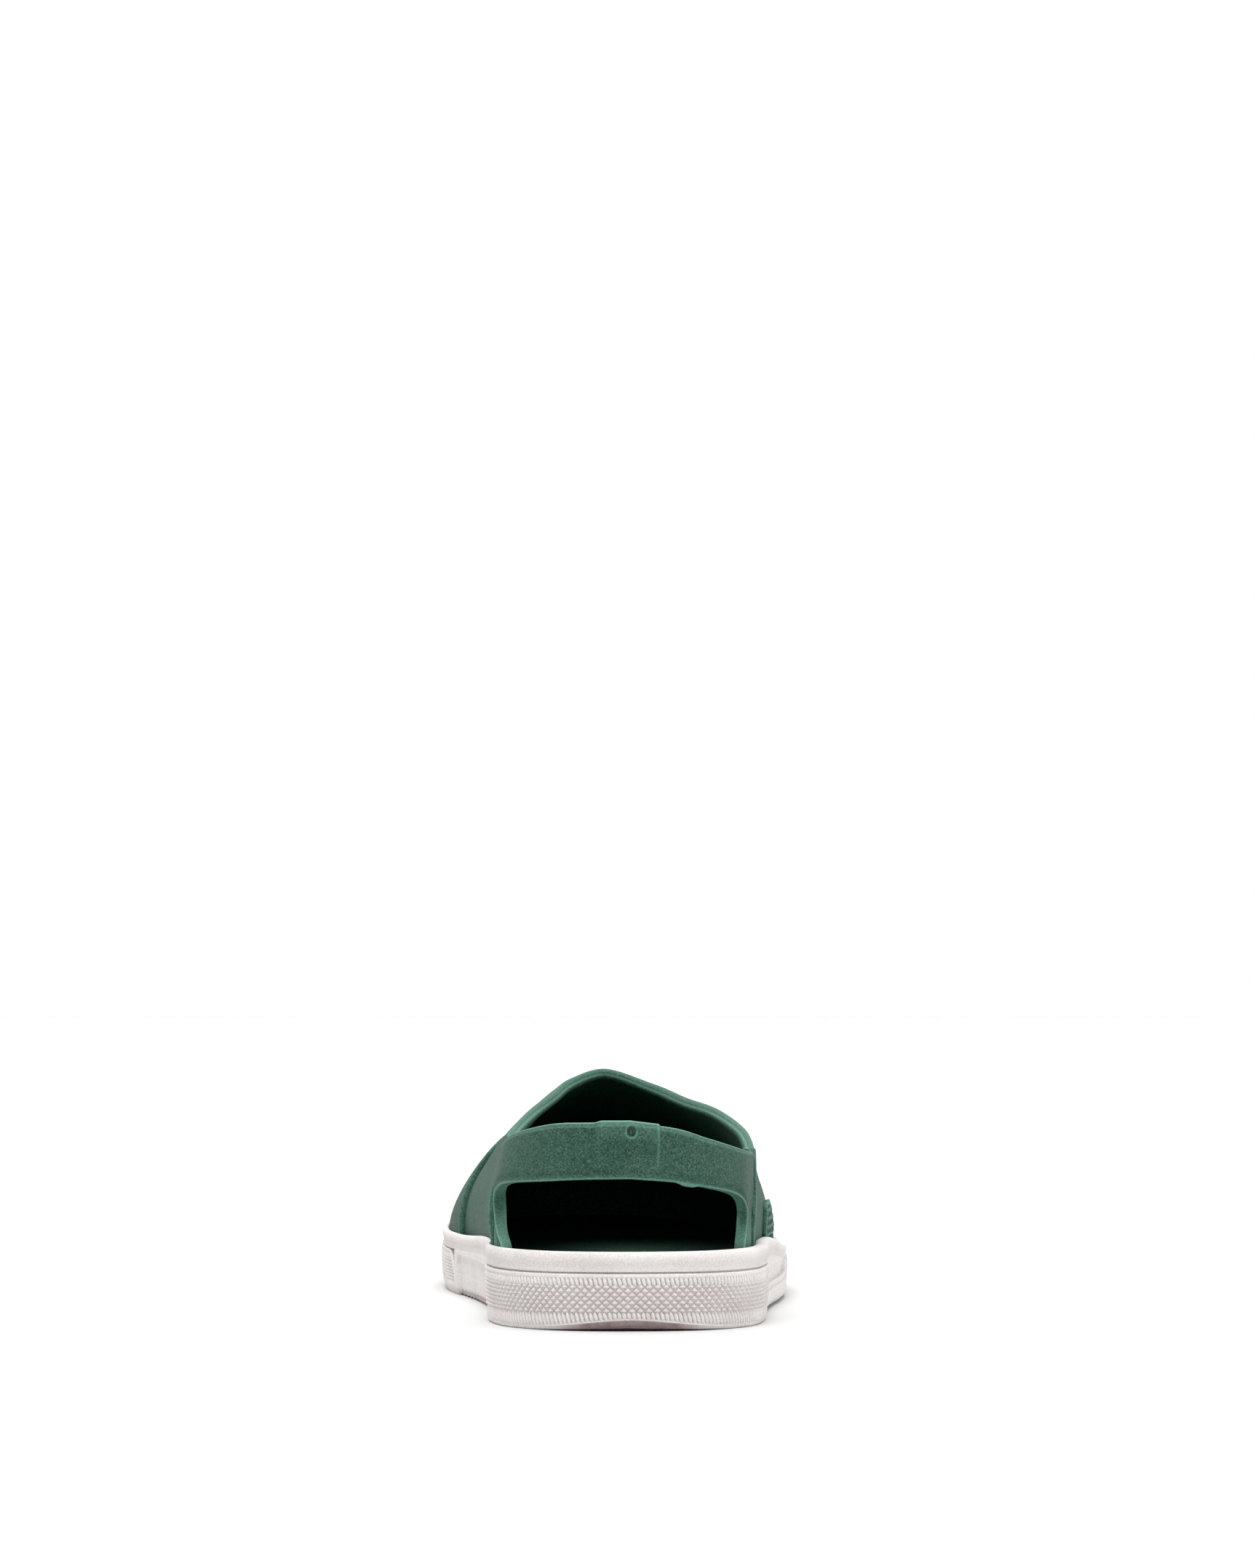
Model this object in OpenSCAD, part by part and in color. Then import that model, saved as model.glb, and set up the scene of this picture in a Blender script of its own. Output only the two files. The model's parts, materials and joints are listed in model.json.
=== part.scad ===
// Garden clog for a right foot: cup sole, textured bumpers, tread, footbed, moulded upper and heel strap.
// +Y points to the toe, +X to the outer side of the foot, +Z up. The tread stands on Z = 0.

/* [Sole] */
// Length of the sole, heel to toe
sole_length = 285; // [270:1:300]
// Width of the sole at the ball of the foot
sole_width = 105.5; // [99:0.5:112]
// Height of the cup's rim at the heel
rim_height = 21.6; // [20:0.2:24]
// How far the toe of the sole lifts off the ground
toe_spring = 6; // [3:0.5:9]
// Thickness of the cup's rim beside the upper
lip = 2.7; // [2.4:0.1:3.2]
// How far the upper sits towards the inner side of the cup
upper_shift = 1.1; // [0:0.1:1.2]
// Depth of the textured bumpers, which fill a recess in the cup's wall
bumper_depth = 1; // [0.7:0.1:1.1]
// Thickness of the tread plates
tread = 2; // [1.5:0.1:2.5]
// Height of the cup's floor above the ground
cup_floor = 9; // [8:0.5:10]

/* [Upper] */
// Wall thickness of the upper
wall = 3; // [2.5:0.1:3.2]
// Height of the throat, the highest point of the collar
throat_height = 69; // [65:0.5:73]
// Thickness of the footbed at the heel
footbed = 4; // [3:0.5:5]

/* [Heel strap] */
// Thickness of the strap
strap = 3; // [2.5:0.1:3.2]
// Height of the strap's top edge at the back of the heel
strap_top = 56.6; // [54:0.2:59]
// Height of the strap's bottom edge at the back of the heel
strap_bottom = 41.2; // [39:0.2:43]
// Distance from the strap's hinge line to the back of the sole
strap_root = 45.5; // [44.5:0.5:46.5]
// Radius of the strap's round ends about the hinge line
root_radius = 5.5; // [5:0.1:5.6]

/* [Badge] */
// Length of the badge along the outer quarter
badge_length = 30; // [24:1:34]
// Height of the badge
badge_height = 9.5; // [8:0.5:10]
// How far the badge stands out of the upper
badge_rise = 1.3; // [1:0.1:1.6]

/* [Hidden] */

white = [0.93, 0.90, 0.88];
green = [0.27, 0.45, 0.37];
// Clearance between pieces that are glued together
slack = 0.02;
// Clearance round the upper, whose facets don't line up with the cup's
upper_gap = 0.15;

// The sole's outline seen from above, from the back of the heel along the outer side, in mm on a shoe
// 285 long and 105.5 wide. Point 13 is the toe.
outline = [[0, -142.5], [21, -137.2], [34.5, -121], [39.5, -98], [41, -70], [44, -42], [48.3, -13],
           [51.3, 17], [52, 46], [49.5, 77], [41.5, 104], [28, 125], [10, 138.5], [-10, 142.5],
           [-28, 138], [-41.5, 125], [-50, 104], [-53.5, 77], [-53, 48], [-49, 20], [-44, -10],
           [-40.5, -42], [-39, -72], [-39.5, -98], [-34.5, -121], [-21, -137.2]];
laps = len(outline);
steps = 4 * laps;
grow = [sole_width / 105.5, sole_length / 285];

// Catmull-Rom curve through four values or points
function through(a, b, c, d, t) =
    0.5 * (2 * b + (c - a) * t + (2 * a - 5 * b + 4 * c - d) * t * t + (3 * b - a - 3 * c + d) * t * t * t);

// The value at s, from 0 to the last index, on an open row of values
function along(row, s) =
    let (n = len(row) - 1, k = max(0, min(n - 1, floor(s))))
    through(row[max(0, k - 1)], row[k], row[k + 1], row[min(n, k + 2)], s - k);

// The point on the outline at s, which counts its control points and wraps round
function edge(s) =
    let (k = floor(s), p = [for (i = [-1:2]) outline[(k + i + 2 * laps) % laps]],
         q = through(p[0], p[1], p[2], p[3], s - k))
    [q.x * grow.x, q.y * grow.y];

// The outline's outward direction at s
function outward(s) =
    let (d = edge(s + 0.02) - edge(s - 0.02))
    [d.y, -d.x] / norm(d);

// The point inside the outline by inset, at height z
function wall_point(s, inset, z) =
    let (p = edge(s) - inset * outward(s))
    [p.x, p.y, z];

// Smooth step from 0 to 1
function fade(t) = let (c = max(0, min(1, t))) c * c * (3 - 2 * c);

// Underside of the sole: it lifts towards the toe and is bevelled at the back of the heel
function ground(y) =
    toe_spring * pow(max(0, y - 45) / 97.5, 2) + 0.5 * pow(max(0, -128 - y) / 14.5, 1.5);

// Top of the cup's rim, from its drop or rise at seven even steps from heel to toe
rim_rises = [0, 0, -0.8, -2, -2.2, -0.8, 3.4];
function rim(y) = rim_height + along(rim_rises, 6 * (y / sole_length + 0.5));

// Height at fraction f of the sole's wall
function wall_height(y, f) = ground(y) + f * (rim(y) - ground(y));

// How much thicker the rim is on the outer side, and thinner on the inner side
function shift(s) =
    let (p = edge(s), most = upper_shift * p.x / 40)
    p.x > 0 ? most : most * (1 - 0.75 * fade((p.y + 60) / 80));

function floor_height(s) = cup_floor + 0.5 * ground(edge(s).y);

// Triangles of a grid of rows by columns, where the columns join up into rings
function ring_faces(rows, cols) =
    [for (r = [0:rows - 2], c = [0:cols - 1])
        let (a = r * cols + c, b = r * cols + (c + 1) % cols)
        each [[a, b + cols, b], [a, a + cols, b + cols]]];

// Triangles that close a ring whose points mirror each other across its first and middle point
function cap_faces(first, cols, up) =
    [for (i = [0:cols / 2 - 1])
        let (a = first + i, b = first + i + 1,
             c = first + (cols - i) % cols, d = first + cols - i - 1)
        each [if (i > 0) up ? [a, c, b] : [a, b, c],
              if (i < cols / 2 - 1) up ? [b, c, d] : [b, d, c]]];

// A closed solid from rings round the outline, given from the bottom outwards and up
module stack(rings) {
    cols = len(rings[0]);
    rows = len(rings);
    polyhedron(points = [for (r = rings) each r],
               faces = concat(ring_faces(rows, cols), cap_faces(0, cols, false),
                              cap_faces((rows - 1) * cols, cols, true)));
}

// A closed solid from a row of cross-sections, capped at both ends
module sweep(sections) {
    cols = len(sections[0]);
    rows = len(sections);
    last = (rows - 1) * cols;
    polyhedron(points = [for (r = sections) each r],
               faces = concat(ring_faces(rows, cols),
                              [for (i = [1:cols - 2]) [0, i, i + 1]],
                              [for (i = [1:cols - 2]) [last, last + i + 1, last + i]]));
}

module midsole() {
    deep = bumper_depth;
    // Each level is its inset, added height, fraction of the wall, and share of the upper's shift
    levels = [[4.5, tread, 0, 0], [deep + 1, tread, 0, 0], [deep, tread + 0.8, 0, 0], [deep, 0, 0.735, 0],
              [0.3, 0, 0.75, 0], [0, 0, 0.79, 0], [0, 0, 0.9, 0], [0.5, 0, 0.97, 0], [1.3, 0, 1, 0.4],
              [lip, 0, 0.97, 1]];
    walls = [for (l = levels)
        [for (i = [0:steps - 1]) let (s = i * laps / steps, y = edge(s).y)
            wall_point(s, l[0] + l[3] * shift(s), l[1] + wall_height(y, l[2]))]];
    cup = [for (i = [0:steps - 1]) let (s = i * laps / steps)
        wall_point(s, lip + shift(s), floor_height(s))];
    color(white) stack(concat(walls, [cup]));
}

// A band of textured foxing from outline index a to b, set into the recess of the cup's wall. Both are
// quarters, so its sections fall on the cup's columns.
module bumper(a, b) {
    count = round((b - a) * 4);
    deep = bumper_depth - slack;
    // Cross-section as inset and fraction of the wall's height
    profile = [[deep, 0.725], [0.3, 0.725], [0, 0.7], [0, 0.12], [0.4, 0.035], [deep, 0.035]];
    color(white)
        sweep([for (i = [0:count]) let (s = a + (b - a) * i / count, y = edge(s).y)
            [for (p = profile) wall_point(s, p[0], wall_height(y, p[1]))]]);
}

module heel_bumper() bumper(-3.75, 3.75);
module toe_bumper() bumper(7.25, 18.5);

tread_inset = 4.5;

module heel_tread() {
    back = -sole_length / 2 + 5;
    front = -sole_length / 2 + 88;
    sides = [for (i = [0:steps - 1])
        let (s = i * laps / steps, p = wall_point(s, tread_inset, 0))
        if (p.y >= back && p.y <= front) [p.x, p.y]];
    color(white)
        linear_extrude(tread - slack)
            polygon(sides);
}

module forefoot_tread() {
    // Outline indexes at the arch and the toe, between which the plate's cross-sections lie
    arch = 5.4;
    toe = 12.9;
    count = 30;
    top = tread - slack;
    color(white)
        sweep([for (i = [0:count])
            let (s = arch + (toe - arch) * i / count,
                 a = wall_point(s, tread_inset, 0), b = wall_point(laps - s, tread_inset, 0))
            [[a.x, a.y, ground(a.y)], [b.x, b.y, ground(b.y)],
             [b.x, b.y, ground(b.y) + top], [a.x, a.y, ground(a.y) + top]]]);
}

// The footbed reaches the rim at the heel, where there is no upper beside it
module footbed() {
    // Each level is its inset, share of the thickness, and height below the full thickness
    levels = [[0, 0, 0], [0, 1, 1], [1.5, 1, 0], [9, 1, 0.6]];
    color(green)
        stack([for (l = levels)
            [for (i = [0:steps - 1])
                let (s = i * laps / steps, y = edge(s).y, beside = fade((min(s, laps - s) - 1.7) / 0.6),
                     inset = lip + shift(s) + upper_gap + (wall + 2 * upper_gap) * beside + l[0],
                     thick = footbed + 3 * fade((y + 90) / 200))
                wall_point(s, inset, floor_height(s) + slack + l[1] * thick - l[2])]]);
}

// The upper from its outer rear edge round the toe to its inner rear edge, in mm on a shoe 285 long.
// Each row is the collar's point, the handle from it down the surface, and the height and swell
// of the handle above the rim.
collar_rows = [
    [[36.2, -91, 47.8], [0.3, 0.5, -9], 9, 0],
    [[34.6, -68, 52.9], [4, 6, -11], 8, 0.5],
    [[27.7, -42, 58], [10, 14, -12], 9, 0.5],
    [[19.4, -14, 60.7], [18, 30, -14], 9, 0.5],
    [[10.5, 6, 64.4], [13, 54, -14], 14, 2],
    [[-3.7, 12.5, 69], [-3, 64, -16], 19, 4],
    [[-14.5, 4, 66], [-15, 50, -15], 14, 2],
    [[-20.5, -20, 62], [-18, 26, -14], 9, 0],
    [[-27.3, -46, 57.7], [-8, 14, -13], 8, 0],
    [[-33, -70, 52.5], [-3.4, 6, -11], 8, 0.8],
    [[-34.9, -91, 49.6], [-2.4, 0.5, -9], 9, 1.6]];
collar_points = [for (r = collar_rows) [r[0].x * grow.x, r[0].y * grow.y, r[0].z + throat_height - 69]];
collar_handles = [for (r = collar_rows) r[1]];
rim_handles = [for (r = collar_rows) r[2]];
rim_swells = [for (r = collar_rows) r[3]];
last_row = len(collar_rows) - 1;

// The hinge line leans, because the strap's inner root stands higher than its outer one
hinge_y = -sole_length / 2 + strap_root;
hinge_z = 43.6;
hinge_lean = -0.043;
function hinge_height(x) = hinge_z + hinge_lean * x;

// Outline indexes of the upper's rear edge: the leg beside the window, and the edge ahead of the strap
leg_s = 2.45;
strap_s = 3.34;

// The rear edge at point p: the leg has a rounded shoulder below the strap's swing
function rear_edge(p) =
    leg_s + (strap_s - leg_s) * fade((p.z - hinge_height(p.x) + 13) / 6);

function bezier(a, b, c, d, t) =
    let (k = 1 - t)
    k * k * k * a + 3 * k * k * t * b + 3 * k * t * t * c + t * t * t * d;

// The upper's outer surface: u runs round the shoe and v from the cup's floor to the collar
in_cup = 0.18;
end_reach = 0.07;
function upper_skin(u, v) =
    let (s = strap_s + u * (laps - 2 * strap_s), r = u * last_row, out = outward(s),
         inset = lip + upper_gap + shift(s),
         foot = wall_point(s, inset, rim(edge(s).y)),
         base = wall_point(s, inset, floor_height(s) + slack),
         swell = along(rim_swells, r),
         a = foot + [out.x * swell, out.y * swell, along(rim_handles, r)],
         c = along(collar_points, r),
         p = v < in_cup ? base + (foot - base) * v / in_cup
                        : bezier(foot, a, c + along(collar_handles, r), c, (v - in_cup) / (1 - in_cup)),
         near = 1 - min(u, 1 - u) / end_reach,
         slip = near > 0 ? (rear_edge(p) - strap_s) * fade(near) : 0,
         d = edge(u < 0.5 ? s + slip : s - slip) - edge(s))
    p + [d.x, d.y, 0];

function skin_normal(u, v) =
    let (e = 0.004,
         across = upper_skin(min(1, u + e), v) - upper_skin(max(0, u - e), v),
         up = upper_skin(u, min(1, v + e)) - upper_skin(u, max(0, v - e)),
         n = cross(across, up))
    n / norm(n);

module upper() {
    across = 66;
    high = 15;
    cols = 2 * high + 2;
    last = across * cols;
    // Each section runs up the inside and down the outside
    sections = [for (i = [0:across]) let (u = i / across)
        concat([for (j = [0:high]) upper_skin(u, j / high) - wall * skin_normal(u, j / high)],
               [for (j = [high:-1:0]) upper_skin(u, j / high)])];
    // Strips that close the wall at its two rear edges
    end = [for (j = [0:high - 1]) [j, cols - 1 - j, cols - 2 - j, j + 1]];
    color(green)
        polyhedron(points = [for (r = sections) each r],
                   faces = concat(ring_faces(across + 1, cols),
                                  [for (f = end) each [[f[0], f[2], f[1]], [f[0], f[3], f[2]]]],
                                  [for (f = end) each [[last + f[0], last + f[1], last + f[2]],
                                                       [last + f[0], last + f[2], last + f[3]]]]));
}

// Rises of the strap's edges over their height at the back, from the inner root to the outer one
top_rises = [-7, -3, -0.4, 0, -4, -7.7, -9];
bottom_rises = [-1.2, -1.7, -0.6, 0, -2.2, -5.6, -5.4];
// How far the strap leans in over its height, from the inner root to the outer one
leans = [3.5, 2.6, 1.2, 0.6, 0, 0, 0];

module heel_strap() {
    half = 3.26;
    count = 44;
    // Rounding of the strap's edges
    soft = 0.7;
    color(green)
        sweep([for (i = [0:count])
            let (s = half * sin(90 * (2 * i / count - 1)), p = edge(s), h = hinge_height(p.x),
                 r = max(0, min(6, s + 3)), inner = 2.6 + shift(s),
                 ahead = max(0, p.y - hinge_y),
                 reach = sqrt(max(1, root_radius * root_radius - ahead * ahead)),
                 top = strap_top + along(top_rises, r),
                 low = strap_bottom + along(bottom_rises, r),
                 z1 = ahead > 0 ? min(top, h + reach) : top,
                 z0 = ahead > 0 ? max(low, h - reach) : low,
                 profile = [[strap - soft, z0], [strap, z0 + soft], [strap, z1 - soft], [strap - soft, z1],
                            [soft, z1], [0, z1 - soft], [0, z0 + soft], [soft, z0]])
            [for (q = profile)
                wall_point(s, inner + q[0] + along(leans, r) * (q[1] - low) / (top - low), q[1])]]);
}

// Finds u and v where the upper's surface is at y and z, in n steps from a first guess
function seat(y, z, u, v, n) =
    n == 0 ? [u, v] :
    let (p = upper_skin(u, v))
    seat(y, z, u + (y - p.y) / 560, v + (z - p.z) / 50, n - 1);

module side_badge() {
    count = 12;
    bands = 3;
    middle = -20;
    low = 20.4;
    color(green)
        sweep([for (i = [0:count])
            let (y = middle + badge_length * (i / count - 0.5),
                 spots = [for (j = [0:bands])
                     seat(y, low + badge_height * j / bands, 0.12, 0.2 + 0.07 * j, 8)],
                 feet = [for (p = spots) upper_skin(p[0], p[1])],
                 normals = [for (p = spots) skin_normal(p[0], p[1])])
            concat([for (j = [0:bands]) feet[j] + upper_gap * normals[j]],
                   [for (j = [bands:-1:0]) feet[j] + badge_rise * normals[j]])]);
}

midsole();
heel_bumper();
toe_bumper();
heel_tread();
forefoot_tread();
footbed();
upper();
heel_strap();
side_badge();
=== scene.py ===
import json
import math

import bmesh
import bpy
import numpy as np
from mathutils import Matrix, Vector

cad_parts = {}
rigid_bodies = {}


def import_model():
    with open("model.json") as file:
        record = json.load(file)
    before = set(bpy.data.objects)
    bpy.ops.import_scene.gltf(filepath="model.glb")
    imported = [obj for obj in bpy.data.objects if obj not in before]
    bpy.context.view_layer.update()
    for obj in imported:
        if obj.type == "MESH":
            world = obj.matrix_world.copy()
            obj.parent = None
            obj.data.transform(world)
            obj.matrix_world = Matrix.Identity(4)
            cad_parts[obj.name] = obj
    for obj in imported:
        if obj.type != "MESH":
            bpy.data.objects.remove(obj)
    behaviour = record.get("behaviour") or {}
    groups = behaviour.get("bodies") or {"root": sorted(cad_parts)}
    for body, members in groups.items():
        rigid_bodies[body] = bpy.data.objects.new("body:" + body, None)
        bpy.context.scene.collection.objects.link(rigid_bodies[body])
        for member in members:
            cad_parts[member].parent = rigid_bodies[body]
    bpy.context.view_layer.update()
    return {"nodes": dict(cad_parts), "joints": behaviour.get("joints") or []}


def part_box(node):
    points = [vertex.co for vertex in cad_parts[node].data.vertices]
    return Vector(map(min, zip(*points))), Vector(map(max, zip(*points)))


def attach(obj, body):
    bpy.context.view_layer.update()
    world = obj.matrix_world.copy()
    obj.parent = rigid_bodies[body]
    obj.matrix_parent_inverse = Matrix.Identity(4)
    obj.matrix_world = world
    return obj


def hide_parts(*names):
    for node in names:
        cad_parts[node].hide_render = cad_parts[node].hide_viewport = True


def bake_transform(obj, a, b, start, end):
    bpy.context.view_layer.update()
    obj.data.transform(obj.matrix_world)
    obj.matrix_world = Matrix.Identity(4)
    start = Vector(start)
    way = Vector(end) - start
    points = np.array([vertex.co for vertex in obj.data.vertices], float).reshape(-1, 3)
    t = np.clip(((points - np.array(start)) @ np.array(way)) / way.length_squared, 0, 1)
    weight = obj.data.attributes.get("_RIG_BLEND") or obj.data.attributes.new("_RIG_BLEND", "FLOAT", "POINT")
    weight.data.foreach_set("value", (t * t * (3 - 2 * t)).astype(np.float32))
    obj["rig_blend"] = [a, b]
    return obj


# Moulded garden clog for a right foot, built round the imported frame.
# Shapes are worked out in millimetres and made in metres, +Y towards the toe.

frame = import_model()
mm = 0.001
print("frame loaded:", sorted(frame["nodes"]))

soleLow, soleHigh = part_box("midsole")
stretchY = (soleHigh.y - soleLow.y) / 0.285
stretchX = (soleHigh.x - soleLow.x) / 0.10584

# Node trees


class Wire:
    # a socket in a node tree; + - * / % and ** on it add Math nodes

    def __init__(self, graph, socket):
        self.graph = graph
        self.socket = socket

    def math(self, operation, *others):
        return self.graph.math(operation, self, *others)

    def __add__(self, other):
        return self.math("ADD", other)

    def __sub__(self, other):
        return self.math("SUBTRACT", other)

    def __mul__(self, other):
        return self.math("MULTIPLY", other)

    def __truediv__(self, other):
        return self.math("DIVIDE", other)

    def __pow__(self, other):
        return self.math("POWER", other)

    def __mod__(self, other):
        return self.math("FLOORED_MODULO", other)

    __radd__ = __add__
    __rmul__ = __mul__

    def __rsub__(self, other):
        return self.graph.math("SUBTRACT", other, self)

    def __rtruediv__(self, other):
        return self.graph.math("DIVIDE", other, self)

    def clamp(self):
        return self.graph.add("ShaderNodeClamp", {}, {0: self})

    def step(self, low, high):
        # smooth step from 0 at low to 1 at high
        return self.graph.add("ShaderNodeMapRange", {"interpolation_type": "SMOOTHSTEP"},
                              {"Value": self, "From Min": low, "From Max": high})


class Graph:
    def __init__(self, tree):
        self.tree = tree

    def add(self, kind, settings, sockets, out=0):
        node = self.tree.nodes.new(kind)
        for key, value in settings.items():
            setattr(node, key, value)
        for key, value in sockets.items():
            target = node.inputs[key]
            if isinstance(value, Wire):
                self.tree.links.new(value.socket, target)
            elif value is not None:
                target.default_value = value
        made = Wire(self, node.outputs[out] if len(node.outputs) else None)
        made.node = node
        return made

    def out(self, wire, name):
        return Wire(self, wire.node.outputs[name])

    def math(self, operation, *values):
        return self.add("ShaderNodeMath", {"operation": operation}, dict(enumerate(values)))

    def mix(self, factor, first, second):
        # mixes two colours
        return self.add("ShaderNodeMix", {"data_type": "RGBA"}, {0: factor, 6: first, 7: second}, 2)

    def vector(self, operation, first, second=None, scale=None):
        sockets = {0: first}
        if second is not None:
            sockets[1] = second
        if scale is not None:
            sockets["Scale"] = scale
        return self.add("ShaderNodeVectorMath", {"operation": operation}, sockets)


def newMaterial(name):
    material = bpy.data.materials.new(name)
    material.use_nodes = True
    material.node_tree.nodes.clear()
    return material, Graph(material.node_tree)


def finishMaterial(graph, constants, links):
    shader = graph.add("ShaderNodeBsdfPrincipled", {}, {**constants, **links})
    graph.add("ShaderNodeOutputMaterial", {}, {"Surface": shader})


def readSurface(graph):
    # object coordinates, and the vertex attribute that carries painted light: highlights on the green rubber,
    # shade on the pale rubber
    place = graph.out(graph.add("ShaderNodeTexCoord", {}, {}), "Object")
    tint = graph.out(graph.add("ShaderNodeAttribute", {"attribute_name": "tint"}, {}), "Fac")
    return place, tint


# Materials

greenLook = {
    "deep": (0.010, 0.052, 0.032, 1),
    "light": (0.028, 0.090, 0.062, 1),
    "speckle": (0.105, 0.175, 0.145, 1),
    "edge": (0.200, 0.440, 0.330, 1),    # painted highlight: paler colour for edges and lit faces
    "grainScale": 2300,      # moulded grain, about 0.4 mm
    "grainHeight": 0.00022,
    "cloudScale": 38,
    "roughness": 0.66,
    "specular": 0.25,
}


def makeGreen(name, look, darker=1.0):
    material, g = newMaterial(name)
    place, tint = readSurface(g)
    cloud = g.add("ShaderNodeTexNoise", {}, {"Vector": place, "Scale": look["cloudScale"], "Detail": 3.0})
    grain = g.add("ShaderNodeTexNoise", {}, {"Vector": place, "Scale": look["grainScale"], "Detail": 2.0,
                                             "Roughness": 0.6})
    pores = g.add("ShaderNodeTexVoronoi", {"feature": "SMOOTH_F1"},
                  {"Vector": place, "Scale": look["grainScale"] * 0.45, "Smoothness": 0.5})
    deep, light, speckle = (tuple(c * darker for c in look[key][:3]) + (1,)
                            for key in ("deep", "light", "speckle"))
    colour = g.mix((cloud * 0.7 + pores * 0.5).step(0.3, 0.75), deep, light)
    coarse = g.add("ShaderNodeTexNoise", {},
                   {"Vector": place, "Scale": look["grainScale"] * 0.8, "Detail": 1.0})
    colour = g.mix((grain * 0.6 + coarse * 0.4).step(0.46, 0.62) * (0.4 + cloud * 0.6), colour, speckle)
    # painted highlight: the tint attribute lightens edges and lit faces towards the edge colour
    colour = g.mix((tint * (0.55 + grain * 0.55)).clamp(), colour, look["edge"])
    height = grain * 0.4 + coarse * 0.4 + pores * 0.2
    bump = g.add("ShaderNodeBump", {}, {"Strength": 1.0, "Distance": look["grainHeight"], "Height": height})
    rough = look["roughness"] - 0.06 + grain * 0.08 + cloud * 0.06
    finishMaterial(g, {"Specular IOR Level": look["specular"]},
                   {"Base Color": colour, "Roughness": rough, "Normal": bump})
    return material


soleLook = {
    "clean": (0.86, 0.835, 0.82, 1),
    "shade": (0.70, 0.66, 0.645, 1),
    "paintedShade": (0.25, 0.17, 0.165, 1),   # painted shade: darker on the downward-facing bottom bevel, in grooves and panel lines, and under the diamonds
    "grainScale": 2000,
    "grainHeight": 0.00012,
    "roughness": 0.62,
    "specular": 0.4,
}


def makeSole(name, look):
    material, g = newMaterial(name)
    place, tint = readSurface(g)
    cloud = g.add("ShaderNodeTexNoise", {}, {"Vector": place, "Scale": 45.0, "Detail": 4.0})
    grain = g.add("ShaderNodeTexNoise", {}, {"Vector": place, "Scale": look["grainScale"], "Detail": 2.0})
    mottle = g.add("ShaderNodeTexNoise", {}, {"Vector": place, "Scale": 420.0, "Detail": 5.0, "Roughness": 0.7})
    colour = g.mix((cloud * 0.4 + grain * 0.6).step(0.34, 0.66), look["shade"], look["clean"])
    # painted shade: the tint attribute, broken up by noise, darkens the colour towards the painted shade
    # colour
    shadeAmount = (tint * (0.45 + mottle * 0.8)).clamp()
    colour = g.mix(shadeAmount, colour, look["paintedShade"])
    bump = g.add("ShaderNodeBump", {}, {"Strength": 0.5, "Distance": look["grainHeight"],
                                        "Height": grain * 0.7 + mottle * 0.3})
    rough = look["roughness"] - 0.05 + grain * 0.08 + shadeAmount * 0.15
    finishMaterial(g, {"Specular IOR Level": look["specular"]},
                   {"Base Color": colour, "Roughness": rough, "Normal": bump})
    return material


greenRubber = makeGreen("greenRubber", greenLook)
# the footbed's green is darkened to 0.75 times: painted shade for the dim inside of the shoe
footbedFoam = makeGreen("footbedFoam", {**greenLook, "roughness": 0.72, "grainScale": 1500}, 0.75)
paleRubber = makeSole("paleRubber", soleLook)
treadRubber = makeSole("treadRubber",
                       {**soleLook, "clean": (0.58, 0.53, 0.50, 1), "shade": (0.40, 0.35, 0.33, 1)})
print("materials made")

# The last's curves

outline = np.array([
    [0, -142.5], [21, -137.2], [34.5, -121], [39.5, -98], [41, -70], [44, -42], [48.3, -13], [51.3, 17],
    [52, 46], [49.5, 77], [41.5, 104], [28, 125], [10, 138.5], [-10, 142.5], [-28, 138], [-41.5, 125],
    [-50, 104], [-53.5, 77], [-53, 48], [-49, 20], [-44, -10], [-40.5, -42], [-39, -72], [-39.5, -98],
    [-34.5, -121], [-21, -137.2]], float) * [stretchX, stretchY]
laps = len(outline)

cup = {
    "rim": 21.6,       # top of the cup's rim at the heel
    "spring": 6.0,     # lift of the toe
    "lip": 2.7,
    "shift": 1.1,      # the upper sits this far to the inner side
    "floor": 9.0,
    "tread": 2.0,
    "heelBevel": 0.5,  # lift of the back of the heel
    "outerDip": 3.0,   # drop of the rim at the waist
    "innerDip": 0.9,
}
rimRises = [0, 0, -0.8, -2, -2.2, -0.8, 3.4]


def through(a, b, c, d, t):
    return 0.5 * (2 * b + (c - a) * t + (2 * a - 5 * b + 4 * c - d) * t * t
                  + (3 * b - a - 3 * c + d) * t * t * t)


def along(row, s):
    # value on an open row of values or points at s, from 0 to the last index
    row = np.asarray(row, float)
    last = len(row) - 1
    s = np.asarray(s, float)
    k = np.clip(np.floor(s).astype(int), 0, last - 1)
    t = s - k
    if row.ndim > 1:
        t = t[..., None]
    return through(row[np.maximum(0, k - 1)], row[k], row[k + 1], row[np.minimum(last, k + 2)], t)


def edge(s):
    # point on the sole's outline
    s = np.asarray(s, float)
    k = np.floor(s).astype(int)
    t = (s - k)[..., None]
    return through(outline[(k - 1) % laps], outline[k % laps], outline[(k + 1) % laps],
                   outline[(k + 2) % laps], t)


def outward(s):
    d = edge(np.asarray(s) + 0.02) - edge(np.asarray(s) - 0.02)
    d = d / np.linalg.norm(d, axis=-1, keepdims=True)
    return np.stack([d[..., 1], -d[..., 0]], -1)


def fade(t):
    c = np.clip(t, 0, 1)
    return c * c * (3 - 2 * c)


def bell(d, width, power=2):
    # a bell: 1 at d = 0, fading over the width
    return np.exp(-(d / width) ** power)


def ground(y):
    toe = cup["spring"] * (np.maximum(0, y - 45) / 97.5) ** 2
    heel = cup["heelBevel"] * (np.maximum(0, -128 - y) / 14.5) ** 1.5
    return toe + heel


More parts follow.
